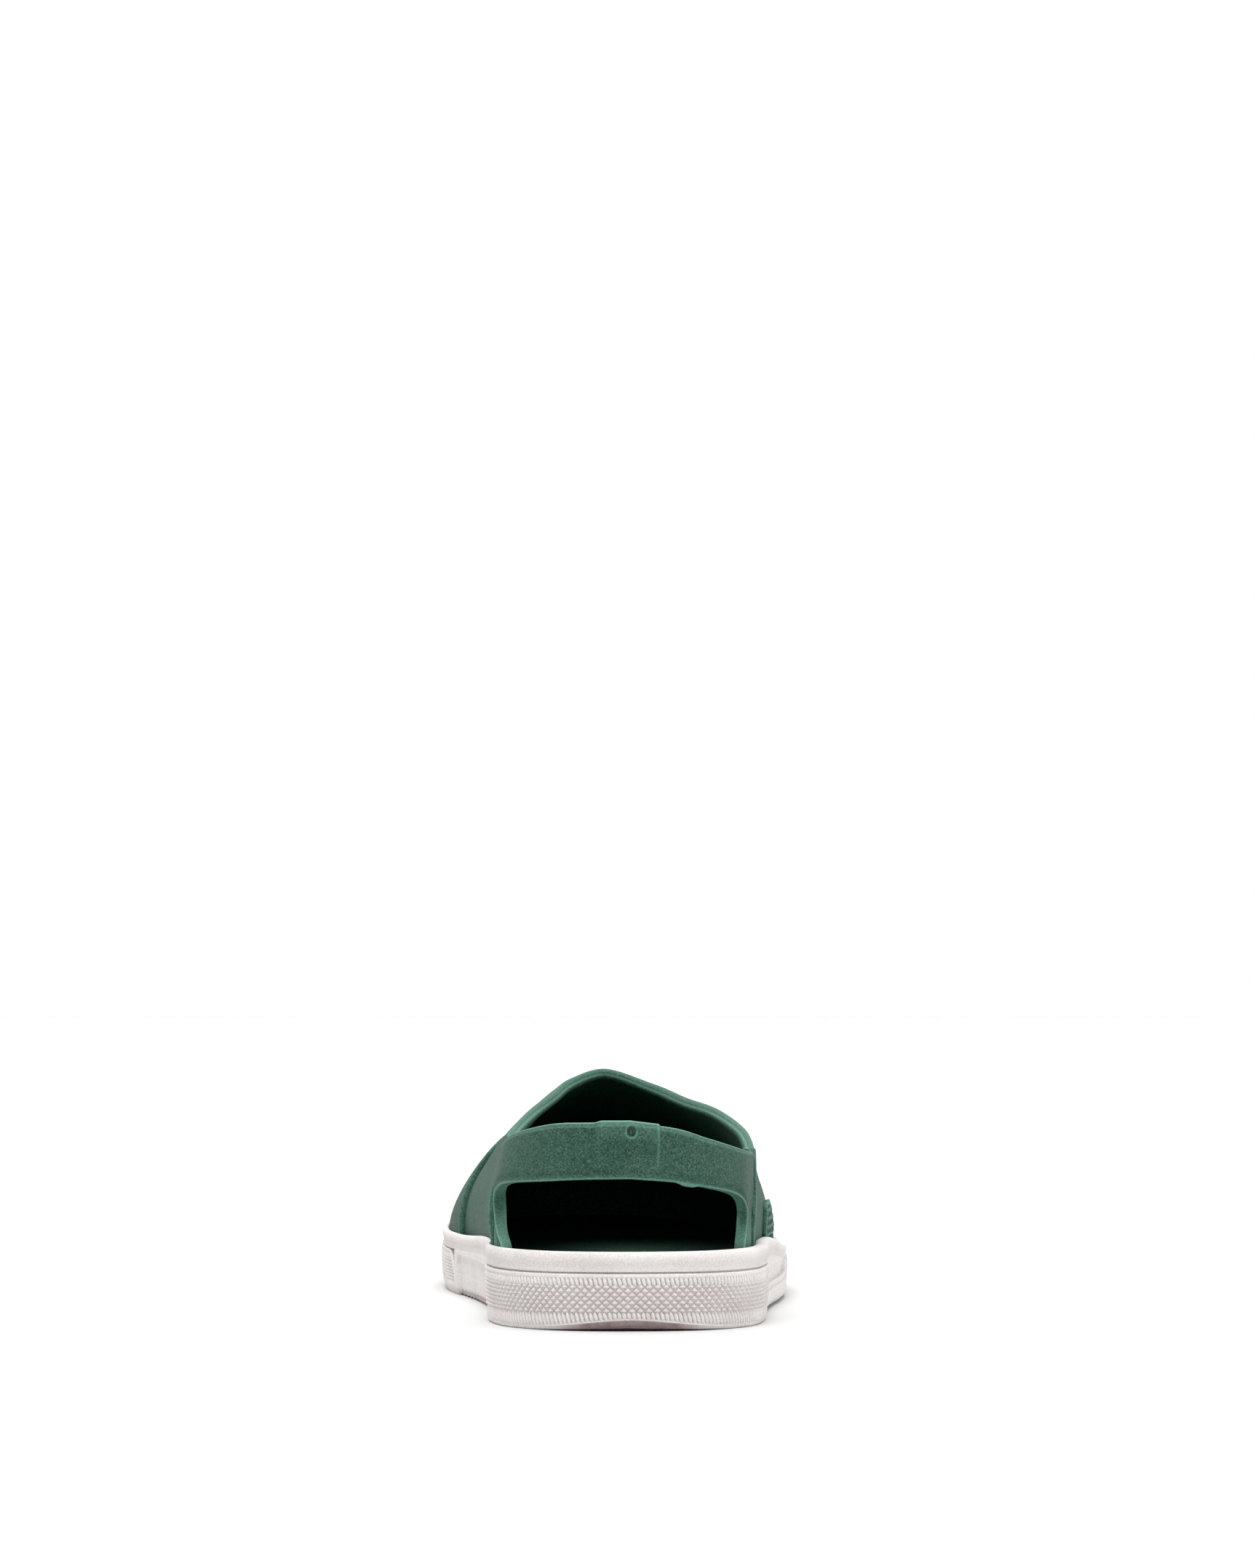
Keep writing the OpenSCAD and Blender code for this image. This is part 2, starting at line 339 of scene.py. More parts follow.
def rim(p):
    # the rim dips further on the outer side of the waist than on the inner side
    x, y = p[..., 0], p[..., 1]
    outerDip = cup["outerDip"] * fade((y + 45) / 52)
    innerDip = cup["innerDip"] * fade((y + 30) / 50)
    dip = np.where(x > 0, outerDip, innerDip) * fade((150 - y) / 60)
    return cup["rim"] + along(rimRises, 6 * (y / 285 + 0.5)) - dip * fade(np.abs(x) / 20)


def shift(s):
    p = edge(s)
    most = cup["shift"] * p[..., 0] / 40
    return np.where(p[..., 0] > 0, most, most * (1 - 0.75 * fade((p[..., 1] + 60) / 80)))


def wallPoint(s, inset, z):
    s, inset, z = np.broadcast_arrays(np.asarray(s, float), inset, z)
    p = edge(s) - inset[..., None] * outward(s)
    return np.concatenate([p, z[..., None]], -1)


def wallHeight(p, f):
    return ground(p[..., 1]) + f * (rim(p) - ground(p[..., 1]))


def floorHeight(s):
    return cup["floor"] + 0.5 * ground(edge(s)[..., 1])


def evenly(samples, spacing):
    # parameters that walk a row of points at an even spacing
    steps = np.linalg.norm(np.diff(samples, axis=0), axis=1)
    run = np.concatenate([[0], np.cumsum(steps)])
    count = max(2, int(round(run[-1] / spacing)))
    return np.interp(np.linspace(0, run[-1], count + 1), run, np.arange(len(samples))), run[-1]


# Mesh helpers


def gridFaces(rows, cols, wrapCols=False, offset=0):
    faces = []
    for r in range(rows - 1):
        for c in range(cols if wrapCols else cols - 1):
            a = offset + r * cols + c
            b = offset + r * cols + (c + 1) % cols
            faces.append((a, b, b + cols, a + cols))
    return faces


def tubeFaces(points):
    # faces of a row of rings, closed at both ends
    count, ring = points.shape[:2]
    faces = gridFaces(count, ring, wrapCols=True)
    faces.append(tuple(range(ring)))
    faces.append(tuple((count - 1) * ring + i for i in range(ring))[::-1])
    return faces


def newObject(name, data):
    made = bpy.data.objects.new(name, data)
    bpy.context.scene.collection.objects.link(made)
    return made


def makePiece(name, points, faces, material, tint=None, smooth=True):
    merge = 1e-7    # points closer than this become one
    mesh = bpy.data.meshes.new(name)
    mesh.from_pydata([tuple(p) for p in np.asarray(points, float).reshape(-1, 3) * mm], [], faces)
    if tint is not None:
        # how far each spot goes to its material's second colour
        tint = np.clip(np.asarray(tint, np.float32).ravel(), 0, 1)
        mesh.attributes.new("tint", "FLOAT", "POINT").data.foreach_set("value", tint)
    bm = bmesh.new()
    bm.from_mesh(mesh)
    bmesh.ops.remove_doubles(bm, verts=bm.verts, dist=merge)
    bmesh.ops.dissolve_degenerate(bm, edges=bm.edges, dist=merge)
    bmesh.ops.recalc_face_normals(bm, faces=bm.faces)
    if bm.calc_volume(signed=True) < 0:
        bmesh.ops.reverse_faces(bm, faces=bm.faces)
    bm.to_mesh(mesh)
    bm.free()
    mesh.materials.append(material)
    piece = newObject(name, mesh)
    for polygon in mesh.polygons:
        polygon.use_smooth = smooth
    return piece


def place(piece, body, slotName, *nodes):
    if nodes:
        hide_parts(*nodes)
    if body:
        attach(piece, body)
    return piece


def mirrorCap(cols, first):
    # faces across a ring whose points pair up over its long axis
    faces = []
    half = cols // 2
    for i in range(half):
        a, b = first + i, first + i + 1
        c, d = first + (cols - i) % cols, first + cols - i - 1
        if i == 0:
            faces.append((a, b, d))
        elif i == half - 1:
            faces.append((a, b, c))
        else:
            faces.append((a, b, d, c))
    return faces


# Cup sole

cupSoleShape = {
    "columns": 26 * 40,
    "recess": 1.5,
    "outerPanel": (7.4, 12.1, 1.5),    # low, high and corner radius
    "outerDepth": 1.2,
    "outerLedge": 5.6,
    "innerPanel": (-9, 12.5, 4.0),
    "innerDepth": 1.1,
    "innerCrease": 6.6,
}
wallLean = {"depth": 0.85, "top": 0.72, "power": 1.4}
# the bumpers' ends along the outline
heelEnd = 3.72
toeStart = 6.9
toeStartInner = 7.05


def bandInset(f):
    # the textured wall leans in a little towards the ground
    return wallLean["depth"] * np.clip(1 - f / wallLean["top"], 0, 1) ** wallLean["power"]


def panelDepth(run, z, a, b, low, high, corner):
    # 1 inside a panel with round corners, from the distances along and up the wall
    dx = np.abs(run - (a + b) / 2) - (b - a) / 2 + corner
    dz = np.abs(z - (low + high) / 2) - (high - low) / 2 + corner
    outside = np.hypot(np.maximum(dx, 0), np.maximum(dz, 0)) + np.minimum(np.maximum(dx, dz), 0) - corner
    return fade(-outside / 0.5)


def panelLine(depth):
    # 1 on the slope of a panel's border, where a dark line of painted shade goes
    return fade(depth / 0.4) * fade((1 - depth) / 0.4)


def buildCupSole():
    cols = cupSoleShape["columns"]
    s = np.arange(cols) * laps / cols
    p = edge(s)
    fine = np.linspace(0, laps, 5201)
    lengths = np.linalg.norm(np.diff(edge(fine), axis=0), axis=1)
    walked = np.concatenate([[0], np.cumsum(lengths)])
    run = np.interp(s, fine, walked)
    heelStop, toeStop = np.interp([heelEnd, toeStart], fine, walked)
    toeStopInner, heelStopInner = np.interp([laps - toeStartInner, laps - heelEnd], fine, walked)
    # 1 between the bumpers, 0 behind them
    shown = fade((run - heelStop + 0.3) / 0.6) * fade((toeStop + 4 - run) / 0.6)
    innerShown = fade((run - toeStopInner + 4) / 0.6) * fade((heelStopInner + 0.3 - run) / 0.6)
    shown = np.maximum(shown, innerShown)
    levels, tints = [], []

    def level(inset, f, lift=0.0, share=0.0, tint=0.0):
        levels.append(wallPoint(s, inset + share * shift(s), lift + wallHeight(p, f)))
        tints.append(np.broadcast_to(tint, s.shape))

    # underside, from the middle out, painted darker as painted shade since it faces down
    for inset, lift in ((16, 2.0), (7, 2.0), (3.0, 2.0), (2.6, 0.75), (1.9, 0.62)):
        level(inset, 0, lift, tint=0.5)
    # wall: the recess behind the bumpers, and the panels between them
    inner = cupSoleShape["innerPanel"]
    outer = cupSoleShape["outerPanel"]
    shape = cupSoleShape
    for f in np.concatenate([[0.036, 0.05, 0.07, 0.10, 0.14, 0.19, 0.24], np.linspace(0.28, 0.735, 40)]):
        z = wallHeight(p, f) - ground(p[:, 1])
        lean = bandInset(f)
        hidden = shape["recess"] + lean
        outerDepth = shape["outerDepth"] * panelDepth(run, z, heelStop + 1.6, toeStop - 1.0, *outer)
        ledge = 0.45 * fade((z - shape["outerLedge"]) / 0.5)
        innerDepth = shape["innerDepth"] * panelDepth(run, z, toeStopInner + 1.6, heelStopInner - 1.2, *inner)
        crease = 0.16 * bell(z - shape["innerCrease"], 0.35)
        crease = crease + 0.25 * fade((shape["innerCrease"] - z) / 4)
        outerWall = 0.1 + 0.35 * lean + ledge + outerDepth
        innerWall = 0.15 + 0.6 * lean + innerDepth + crease
        plain = np.where(s < laps / 2, outerWall, innerWall)
        low = max(0.0, 0.09 - f)
        # painted shade: dark lines along the panels' borders and under the outer ledge, and darker towards
        # the ground
        line = panelLine(outerDepth / shape["outerDepth"]) + panelLine(innerDepth / shape["innerDepth"])
        line = line + 0.8 * bell(z - shape["outerLedge"] - 0.4, 0.3) * (s < laps / 2)
        level(hidden * (1 - shown) + plain * shown + low * 18, f,
              tint=np.maximum(0.35 * fade((0.14 - f) / 0.10), 0.4 * line * shown))
    # rolled lip, with painted shade on the concave band under its top
    for inset, f, share in [(0.34, 0.742, 0), (0.40, 0.755, 0), (0.48, 0.78, 0), (0.48, 0.81, 0),
                            (0.40, 0.84, 0), (0.28, 0.868, 0), (0.15, 0.89, 0), (0.08, 0.908, 0),
                            (0.08, 0.926, 0), (0.17, 0.947, 0.02), (0.36, 0.968, 0.08), (0.62, 0.983, 0.16),
                            (0.95, 0.994, 0.3), (1.30, 1.0, 0.45), (1.7, 1.0, 0.62), (2.05, 0.996, 0.78),
                            (2.35, 0.986, 0.9), (2.55, 0.968, 1), (2.66, 0.94, 1), (2.7, 0.90, 1)]:
        level(inset, f, 0, share, tint=0.16 * float(fade((0.9 - f) / 0.06)))
    levels.append(wallPoint(s, cup["lip"] + shift(s), floorHeight(s) + 1))
    levels.append(wallPoint(s, cup["lip"] + 0.6 + shift(s), floorHeight(s)))
    levels.append(wallPoint(s, cup["lip"] + 8 + shift(s), floorHeight(s)))
    tints += [np.zeros_like(s)] * 3
    faces = gridFaces(len(levels), cols, wrapCols=True)
    faces += mirrorCap(cols, 0) + mirrorCap(cols, (len(levels) - 1) * cols)
    return makePiece("cupSole", np.concatenate(levels), faces, paleRubber, np.concatenate(tints))


place(buildCupSole(), "shoe", "sole_rubber", "midsole")
print("cup sole made")

# Textured bumpers

knurl = {
    "pitch": 2.38,         # width of a diamond
    "rows": 7,
    "lowest": 0.213,       # shares of the wall's height
    "highest": 0.572,
    "peak": 1.0,           # how far a point stands out
    "sunk": 0.6,           # the field under the points
    "fill": 0.93,          # share of the pitch that a point covers
    "undersideShade": 0.45,         # painted shade on a point's downward-facing side
    "ribPitch": 1.33,
    "ribLean": 17,         # degrees
    "lowerRibsTop": 0.222,
    "upperRibs": (0.562, 0.682),
    "ribRise": 0.70,
    "heelTrim": (0.7, 1.9, 17),    # plain bevel at the bottom: height, extra at the back, reach
    "toeTrim": 2.0,
    "startGap": 1.7,       # plain stretch before the first diamond
    "slantShare": 0.7,     # share of the wall over which a slanting end reaches its full slant
}


def trimHeight(s, back):
    # height of the plain bevel under the texture
    p = edge(s)
    if not back:
        return np.full(p.shape[:-1], knurl["toeTrim"])
    low, extra, reach = knurl["heelTrim"]
    return low + extra * bell(p[..., 0], reach) * (p[..., 1] < 0)


def bumperGuide(name, a, b, back):
    # an open line along the wall; its points know the ground, the wall's height and the way out
    samples = edge(np.linspace(a, b, 800))
    spots, length = evenly(samples, 0.6)
    s = a + (b - a) * spots / 799
    p = edge(s)
    out = outward(s)
    mesh = bpy.data.meshes.new(name)
    mesh.from_pydata([(x * mm, y * mm, 0) for x, y in p], [(i, i + 1) for i in range(len(p) - 1)], [])
    for label, values in (("foot", ground(p[:, 1]) * mm), ("span", (rim(p) - ground(p[:, 1])) * mm),
                          ("trim", (trimHeight(s, back) + 0.15) * mm)):
        mesh.attributes.new(label, "FLOAT", "POINT").data.foreach_set("value", values.astype(np.float32))
    ways = np.concatenate([out, np.zeros((len(out), 1))], 1).astype(np.float32)
    mesh.attributes.new("wayOut", "FLOAT_VECTOR", "POINT").data.foreach_set("vector", ways.ravel())
    return newObject(name, mesh)


def newTree(name, output, inputs):
    # a node group with named inputs; gives it, its inputs' identifiers, a graph and the inputs' wires
    tree = bpy.data.node_groups.new(name, "GeometryNodeTree")
    ports = {}
    for label, kind in inputs.items():
        ports[label] = tree.interface.new_socket(name=label, in_out="INPUT",
                                                 socket_type="NodeSocket" + kind).identifier
    tree.interface.new_socket(name=output, in_out="OUTPUT", socket_type="NodeSocketGeometry")
    g = Graph(tree)
    source = g.add("NodeGroupInput", {}, {})
    return tree, ports, g, {label: g.out(source, label) for label in ports}


def finishTree(g, geometry, material):
    real = g.add("GeometryNodeRealizeInstances", {}, {0: geometry})
    painted = g.add("GeometryNodeSetMaterial", {}, {"Geometry": real, "Material": material})
    g.add("NodeGroupOutput", {}, {0: painted})


def knurlTree():
    # rows of diamonds between two rows of leaning ribs, set along a guide line
    tree, ports, g, given = newTree("knurlBand", "Band", {
        "Guide": "Geometry", "Pitch": "Float", "Rows": "Int", "Lowest": "Float", "Highest": "Float",
        "Peak": "Float", "Fill": "Float", "Underside Shade": "Float", "Rib Pitch": "Float", "Rib Lean": "Float",
        "Rib Rise": "Float", "Sunk": "Float", "Lower To": "Float", "Upper From": "Float",
        "Upper To": "Float", "Start Gap": "Float", "Slant": "Float", "Material": "Material"})
    curve = g.add("GeometryNodeMeshToCurve", {}, {"Mesh": given["Guide"]})
    total = g.add("GeometryNodeCurveLength", {}, {0: curve})
    length = total - given["Start Gap"] * 2

    def sample(where, label, kind, out):
        value = g.add("GeometryNodeInputNamedAttribute", {"data_type": kind}, {"Name": label}) \
            if label else None
        sockets = {"Curves": curve, "Length": where}
        if value:
            sockets["Value"] = value
        settings = {"mode": "LENGTH", "data_type": kind, "use_all_curves": False}
        return g.add("GeometryNodeSampleCurve", settings, sockets, out)

    def lean(f):
        return ((1 - f / wallLean["top"]).clamp() ** wallLean["power"]) * (wallLean["depth"] * mm)

    def setOnWall(points, where, f, sink):
        # moves loose points to their place on the wall, sunk a little into it; drops those past its ends
        wayOut = sample(where, "wayOut", "FLOAT_VECTOR", "Value")
        base = sample(where, "", "FLOAT", "Position")
        z = sample(where, "foot", "FLOAT", "Value") + sample(where, "span", "FLOAT", "Value") * f
        up = g.add("ShaderNodeCombineXYZ", {}, {"Z": z})
        spot = g.vector("ADD", base, g.vector("SCALE", wayOut, scale=(lean(f) + sink) * -1))
        moved = g.add("GeometryNodeSetPosition", {},
                      {"Geometry": points, "Position": g.vector("ADD", spot, up)})
        stop = given["Start Gap"] + given["Slant"] * f / knurl["slantShare"]
        past = (stop - where.math("MINIMUM", total - where)).math("GREATER_THAN", 0.0)
        kept = g.add("GeometryNodeDeleteGeometry", {"domain": "POINT"},
                     {"Geometry": moved, "Selection": past})
        return kept, wayOut

    index = g.add("GeometryNodeInputIndex", {}, {})
    # diamonds
    columns = (length / given["Pitch"]).math("FLOOR")
    row = index % given["Rows"]
    column = (index / given["Rows"]).math("FLOOR")
    where = given["Start Gap"] + (column + (row % 2) * 0.5 + 0.25) * given["Pitch"]
    f = given["Lowest"] + (row + 0.5) / given["Rows"] * (given["Highest"] - given["Lowest"])
    loose = g.add("GeometryNodePoints", {}, {"Count": columns * given["Rows"]})
    moved, wayOut = setOnWall(loose, where, f, given["Sunk"] + 0.1 * mm)
    span = sample(where, "span", "FLOAT", "Value")
    tall = span * (given["Highest"] - given["Lowest"]) / given["Rows"]
    diamond = g.add("GeometryNodeMeshCone", {},
                    {"Vertices": 4, "Radius Top": 0.09, "Radius Bottom": 1.0, "Depth": 1.0})
    # painted shade: faces that point down get a higher tint, which darkens them
    facing = g.out(g.add("ShaderNodeSeparateXYZ", {}, {0: g.add("GeometryNodeInputNormal", {}, {})}), "Y")
    undersideShade = (facing * -1.1).clamp() * given["Underside Shade"]
    diamond = g.add("GeometryNodeStoreNamedAttribute", {"data_type": "FLOAT", "domain": "FACE"},
                    {"Geometry": diamond, "Name": "tint", "Value": undersideShade})
    turn = g.add("FunctionNodeAxesToRotation", {"primary_axis": "Z", "secondary_axis": "Y"},
                 {0: wayOut, 1: (0, 0, 1)})
    size = g.add("ShaderNodeCombineXYZ", {},
                 {"X": given["Pitch"] * 0.5 * given["Fill"], "Y": tall * given["Fill"], "Z": given["Peak"]})
    diamonds = g.add("GeometryNodeInstanceOnPoints", {}, {"Points": moved, "Instance": diamond,
                                                          "Rotation": turn, "Scale": size})
    parts = [diamonds]
    # leaning ribs, above and below
    for lower in (True, False):
        count = (length / given["Rib Pitch"]).math("FLOOR")
        where = given["Start Gap"] + (index + 0.5) * given["Rib Pitch"]
        span = sample(where, "span", "FLOAT", "Value")
        low = sample(where, "trim", "FLOAT", "Value") / span if lower else given["Upper From"]
        top = given["Lower To"] if lower else given["Upper To"]
        loose = g.add("GeometryNodePoints", {}, {"Count": count})
        moved, wayOut = setOnWall(loose, where, (low + top) * 0.5, given["Sunk"] - 0.08 * mm)
        side = g.vector("CROSS_PRODUCT", (0, 0, 1), wayOut)
        angle = given["Rib Lean"].math("RADIANS")
        across = g.vector("SCALE", side, scale=angle.math("SINE") * -1)
        rise = g.add("ShaderNodeCombineXYZ", {}, {"Z": angle.math("COSINE")})
        turn = g.add("FunctionNodeAxesToRotation", {"primary_axis": "Z", "secondary_axis": "X"},
                     {0: g.vector("ADD", across, rise), 1: wayOut})
        size = g.add("ShaderNodeCombineXYZ", {}, {"X": given["Rib Rise"], "Y": given["Rib Pitch"] * 0.45,
                                                  "Z": span * (top - low) * 0.56})
        bead = g.add("GeometryNodeMeshUVSphere", {}, {"Segments": 8, "Rings": 6, "Radius": 1.0})
        parts.append(g.add("GeometryNodeInstanceOnPoints", {}, {"Points": moved, "Instance": bead,
                                                                "Rotation": turn, "Scale": size}))
    joined = g.add("GeometryNodeJoinGeometry", {}, {})
    for part in reversed(parts):
        tree.links.new(part.socket, joined.node.inputs[0])
    finishTree(g, joined, given["Material"])
    return tree, ports


def growNodes(name, guide, tree, values):
    # runs a node tree on a guide, and keeps the result as a plain mesh
    modifier = guide.modifiers.new("grow", "NODES")
    modifier.node_group = tree
    for identifier, value in values.items():
        modifier[identifier] = value
    bpy.context.view_layer.update()
    ready = guide.evaluated_get(bpy.context.evaluated_depsgraph_get())
    mesh = bpy.data.meshes.new_from_object(ready)
    mesh.name = name
    for layer in list(mesh.attributes):
        if layer.name in ("foot", "span", "trim", "wayOut"):
            mesh.attributes.remove(layer)
    guide.modifiers.remove(modifier)
    bpy.data.objects.remove(guide)
    return newObject(name, mesh)


bandTree, bandPorts = knurlTree()


def bumperBase(name, a, b, back, slant):
    # the plain band under the texture, with a small ledge on top and a smooth frame at its ends
    samples = edge(np.linspace(a, b, 800))
    spots, length = evenly(samples, 0.7)
    s = a + (b - a) * spots / 799
    run = np.linspace(0, length, len(s))
    close = np.minimum(run, length - run)
    trim = trimHeight(s, back)
    perMm = (b - a) / length
    rows, tints = [], []

    def row(inset, f, field=0.0, tint=0.0):
        # the ends slant, and their top corners are rounded
        upTop = np.clip((f - 0.6) / 0.12, 0, 1)
        rounded = 2.5 * (1 - np.sqrt(np.clip(1 - upTop ** 2, 0, 1)))
        stop = slant * np.asarray(f) / knurl["slantShare"] + rounded
        pull = stop * np.clip(1 - close / 12, 0, 1)
        at = s + np.where(run < length / 2, pull, -pull) * perMm
        away = close * (1 - stop / 12 * (close < 12))
        frameLine = 1 - fade((away - 1.1) / 0.35)
        soft = 0.7 * np.clip(1 - away / 0.6, 0, 1) ** 2
        depth = inset + bandInset(f) + field * (1 - frameLine) + soft
        # painted shade in the sunk field between the diamonds
        tint = np.maximum(tint, 0.5 * (1 - frameLine) * field / knurl["sunk"])
        rows.append(wallPoint(at, depth, wallHeight(edge(at), f)))
        tints.append(np.broadcast_to(tint, s.shape))

    span = rim(edge(s)) - ground(edge(s)[:, 1])
    # painted shade on the plain bevel at the bottom, which faces down; strongest at the back of the heel
    strength = fade((trim - 0.7) / 1.2) if back else 0.25
    row(2.6, 0.02, tint=0.9 * strength)
    for part, inset in ((0.04, 0.98), (0.3, 0.66), (0.6, 0.34), (0.85, 0.12)):
        row(inset * trim * (0.85 if back else 0.3), part * trim / span, tint=strength)
    row(0.02, trim / span, tint=strength * 0.6)
    low = (trim + 0.12) / span
    for k in np.linspace(0, 1, 22):
        row(0.0, low + (0.675 - low) * k, knurl["sunk"] * fade(k / 0.06) * fade((1 - k) / 0.06))
    for inset, f in ((0.04, 0.683), (0.0, 0.692), (0.03, 0.702), (0.12, 0.711), (0.34, 0.717), (1.6, 0.718)):
        row(inset, f)
    for f in np.linspace(0.718, 0.12, 6)[1:]:
        row(2.4, f)
    points = np.stack(rows, 1)
    return makePiece(name, points, tubeFaces(points), paleRubber, np.stack(tints, 1))


def buildBumper(name, a, b, back, slant, node):
    base = bumperBase(name, a, b, back, slant)
    guide = bumperGuide(name + "Guide", a, b, back)
    values = {"Pitch": knurl["pitch"] * mm, "Rows": knurl["rows"], "Lowest": knurl["lowest"],
              "Highest": knurl["highest"], "Peak": knurl["peak"] * mm, "Fill": knurl["fill"],
              "Underside Shade": knurl["undersideShade"], "Sunk": knurl["sunk"] * mm,
              "Rib Pitch": knurl["ribPitch"] * mm, "Rib Lean": float(knurl["ribLean"]),
              "Rib Rise": knurl["ribRise"] * mm, "Lower To": knurl["lowerRibsTop"],
              "Upper From": knurl["upperRibs"][0], "Upper To": knurl["upperRibs"][1],
              "Start Gap": knurl["startGap"] * mm, "Slant": slant * mm, "Material": paleRubber}
    texture = growNodes(name + "Texture", guide, bandTree,
                        {bandPorts[label]: value for label, value in values.items()})
    place(texture, "shoe", "sole_rubber")
    place(base, "shoe", "sole_rubber", node)
    return texture


heelTexture = buildBumper("heelBumper", -heelEnd, heelEnd, True, 0.0, "heel_bumper")
toeTexture = buildBumper("toeBumper", toeStart, laps - toeStartInner, False, 9.0, "toe_bumper")
print("bumpers made:", len(heelTexture.data.polygons), len(toeTexture.data.polygons))

# Tread

treadShape = {
    "inset": 2.3,
    "plate": 0.7,          # thickness of the plate above the lugs
    "pitch": 5.6,          # from one lug row to the next
    "zigzag": 2.6,
    "teeth": 9,
    "lugWidth": 2.1,
    "lugSink": 0.55,       # from the top of the tread down to the lugs' middle line
}


def treadPlate(name, sides):
    # a thin skin under the sole; sides pairs the outer and the inner points from heel to toe
    rows = []
    for a, b in sides:
        line = []
        for t in np.linspace(0, 1, 9):
            p = a + (b - a) * t
            line.append([p[0], p[1], ground(p[1]) + cup["tread"] - treadShape["plate"]])
        for t in np.linspace(1, 0, 9):
            p = a + (b - a) * t
            line.append([p[0], p[1], ground(p[1]) + cup["tread"] + 0.05])
        rows.append(line)
    points = np.array(rows)
    return makePiece(name, points, tubeFaces(points), treadRubber, smooth=False)


def halfWidth(y, side):
    # the outline's x at y on one side, less the tread's inset
    s = np.linspace(0.02, 12.9, 900) if side > 0 else laps - np.linspace(0.02, 12.9, 900)
    p = edge(s) - treadShape["inset"] * outward(s)
    order = np.argsort(p[:, 1])
    return np.interp(y, p[order, 1], p[order, 0])


def lugGuide(name, low, high):
    # zigzag lines across the sole, one for each lug row
    verts, edges = [], []
    count = int((high - low) / treadShape["pitch"])
    for i in range(count + 1):
        y = low + (high - low) * i / count
        steps = treadShape["teeth"] * 2
        first = len(verts)
        for k in range(steps + 1):
            t = k / steps
            zig = treadShape["zigzag"] * (0.5 if k % 2 else -0.5)
            yy = y + zig
            a, b = halfWidth(yy, 1), halfWidth(yy, -1)
            z = ground(yy) + cup["tread"] - treadShape["lugSink"]
            verts.append(((a + (b - a) * t) * mm, yy * mm, z * mm))
            if k:
                edges.append((first + k - 1, first + k))
    mesh = bpy.data.meshes.new(name)
    mesh.from_pydata(verts, edges, [])
    return newObject(name, mesh)


def lugTree():
    tree, ports, g, given = newTree("lugRows", "Lugs", {
        "Lines": "Geometry", "Width": "Float", "Height": "Float", "Material": "Material"})
    curve = g.add("GeometryNodeMeshToCurve", {}, {"Mesh": given["Lines"]})
    ring = g.add("GeometryNodeCurvePrimitiveCircle", {"mode": "RADIUS"}, {"Resolution": 4, "Radius": 1.0})
    size = g.add("ShaderNodeCombineXYZ", {}, {"X": given["Width"], "Y": given["Height"], "Z": 1.0})
    shaped = g.add("GeometryNodeTransform", {}, {"Geometry": ring, "Scale": size})
    upright = g.add("GeometryNodeSetCurveNormal", {"mode": "Z_UP"}, {0: curve})
    swept = g.add("GeometryNodeCurveToMesh", {},
                  {"Curve": upright, "Profile Curve": shaped, "Fill Caps": True})
    flat = g.add("GeometryNodeSetShadeSmooth", {}, {"Geometry": swept, "Shade Smooth": False})
    finishTree(g, flat, given["Material"])
    return tree, ports


lugNodes, lugPorts = lugTree()


def buildTread(name, low, high, node):
    ys = np.linspace(low, high, 60)
    sides = [(np.array([halfWidth(y, 1), y]), np.array([halfWidth(y, -1), y])) for y in ys]
    plate = treadPlate(name, sides)
    guide = lugGuide(name + "Lines", low + 3.0, high - 3.0)
    lugs = growNodes(name + "Lugs", guide, lugNodes, {
        lugPorts["Width"]: treadShape["lugWidth"] * mm,
        lugPorts["Height"]: (cup["tread"] - treadShape["lugSink"]) * mm,
        lugPorts["Material"]: treadRubber})
    place(lugs, "shoe", "sole_rubber")
    place(plate, "shoe", "sole_rubber", node)


buildTread("heelTread", -135.0, -56.0, "heel_tread")
buildTread("foreTread", -30.0, 137.0, "forefoot_tread")
print("tread made")

# Footbed

footbedShape = {"columns": 26 * 10, "thick": 4.0, "gap": 0.15, "wall": 3.0}


def buildFootbed():
    cols = footbedShape["columns"]
    s = np.arange(cols) * laps / cols
    y = edge(s)[:, 1]
    beside = fade((np.minimum(s, laps - s) - 1.7) / 0.6)
    inset = cup["lip"] + shift(s) + footbedShape["gap"] + (footbedShape["wall"] + 0.3) * beside
    thick = footbedShape["thick"] + 3 * fade((y + 90) / 200)
    base = floorHeight(s)
    rows = []
    for add, share, drop in [(0, 0, 0), (0, 1, 1.0), (0.3, 1, 0.5), (0.9, 1, 0.12), (1.8, 1, 0),
                             (3.2, 1, 0.05), (3.8, 1, 0.35), (4.4, 1, 0.40), (5.0, 1, 0.12),
                             (8, 1, 0.35), (12, 1, 0.6),
                             (18, 1, 0.85), (26, 1, 1.0)]:
        rows.append(wallPoint(s, inset + add, base + share * thick - drop))
    faces = gridFaces(len(rows), cols, wrapCols=True)
    faces += mirrorCap(cols, 0) + mirrorCap(cols, (len(rows) - 1) * cols)
    return makePiece("footbed", np.concatenate(rows), faces, footbedFoam)


place(buildFootbed(), "shoe", "upper_rubber", "footbed")
print("footbed made")

# Upper

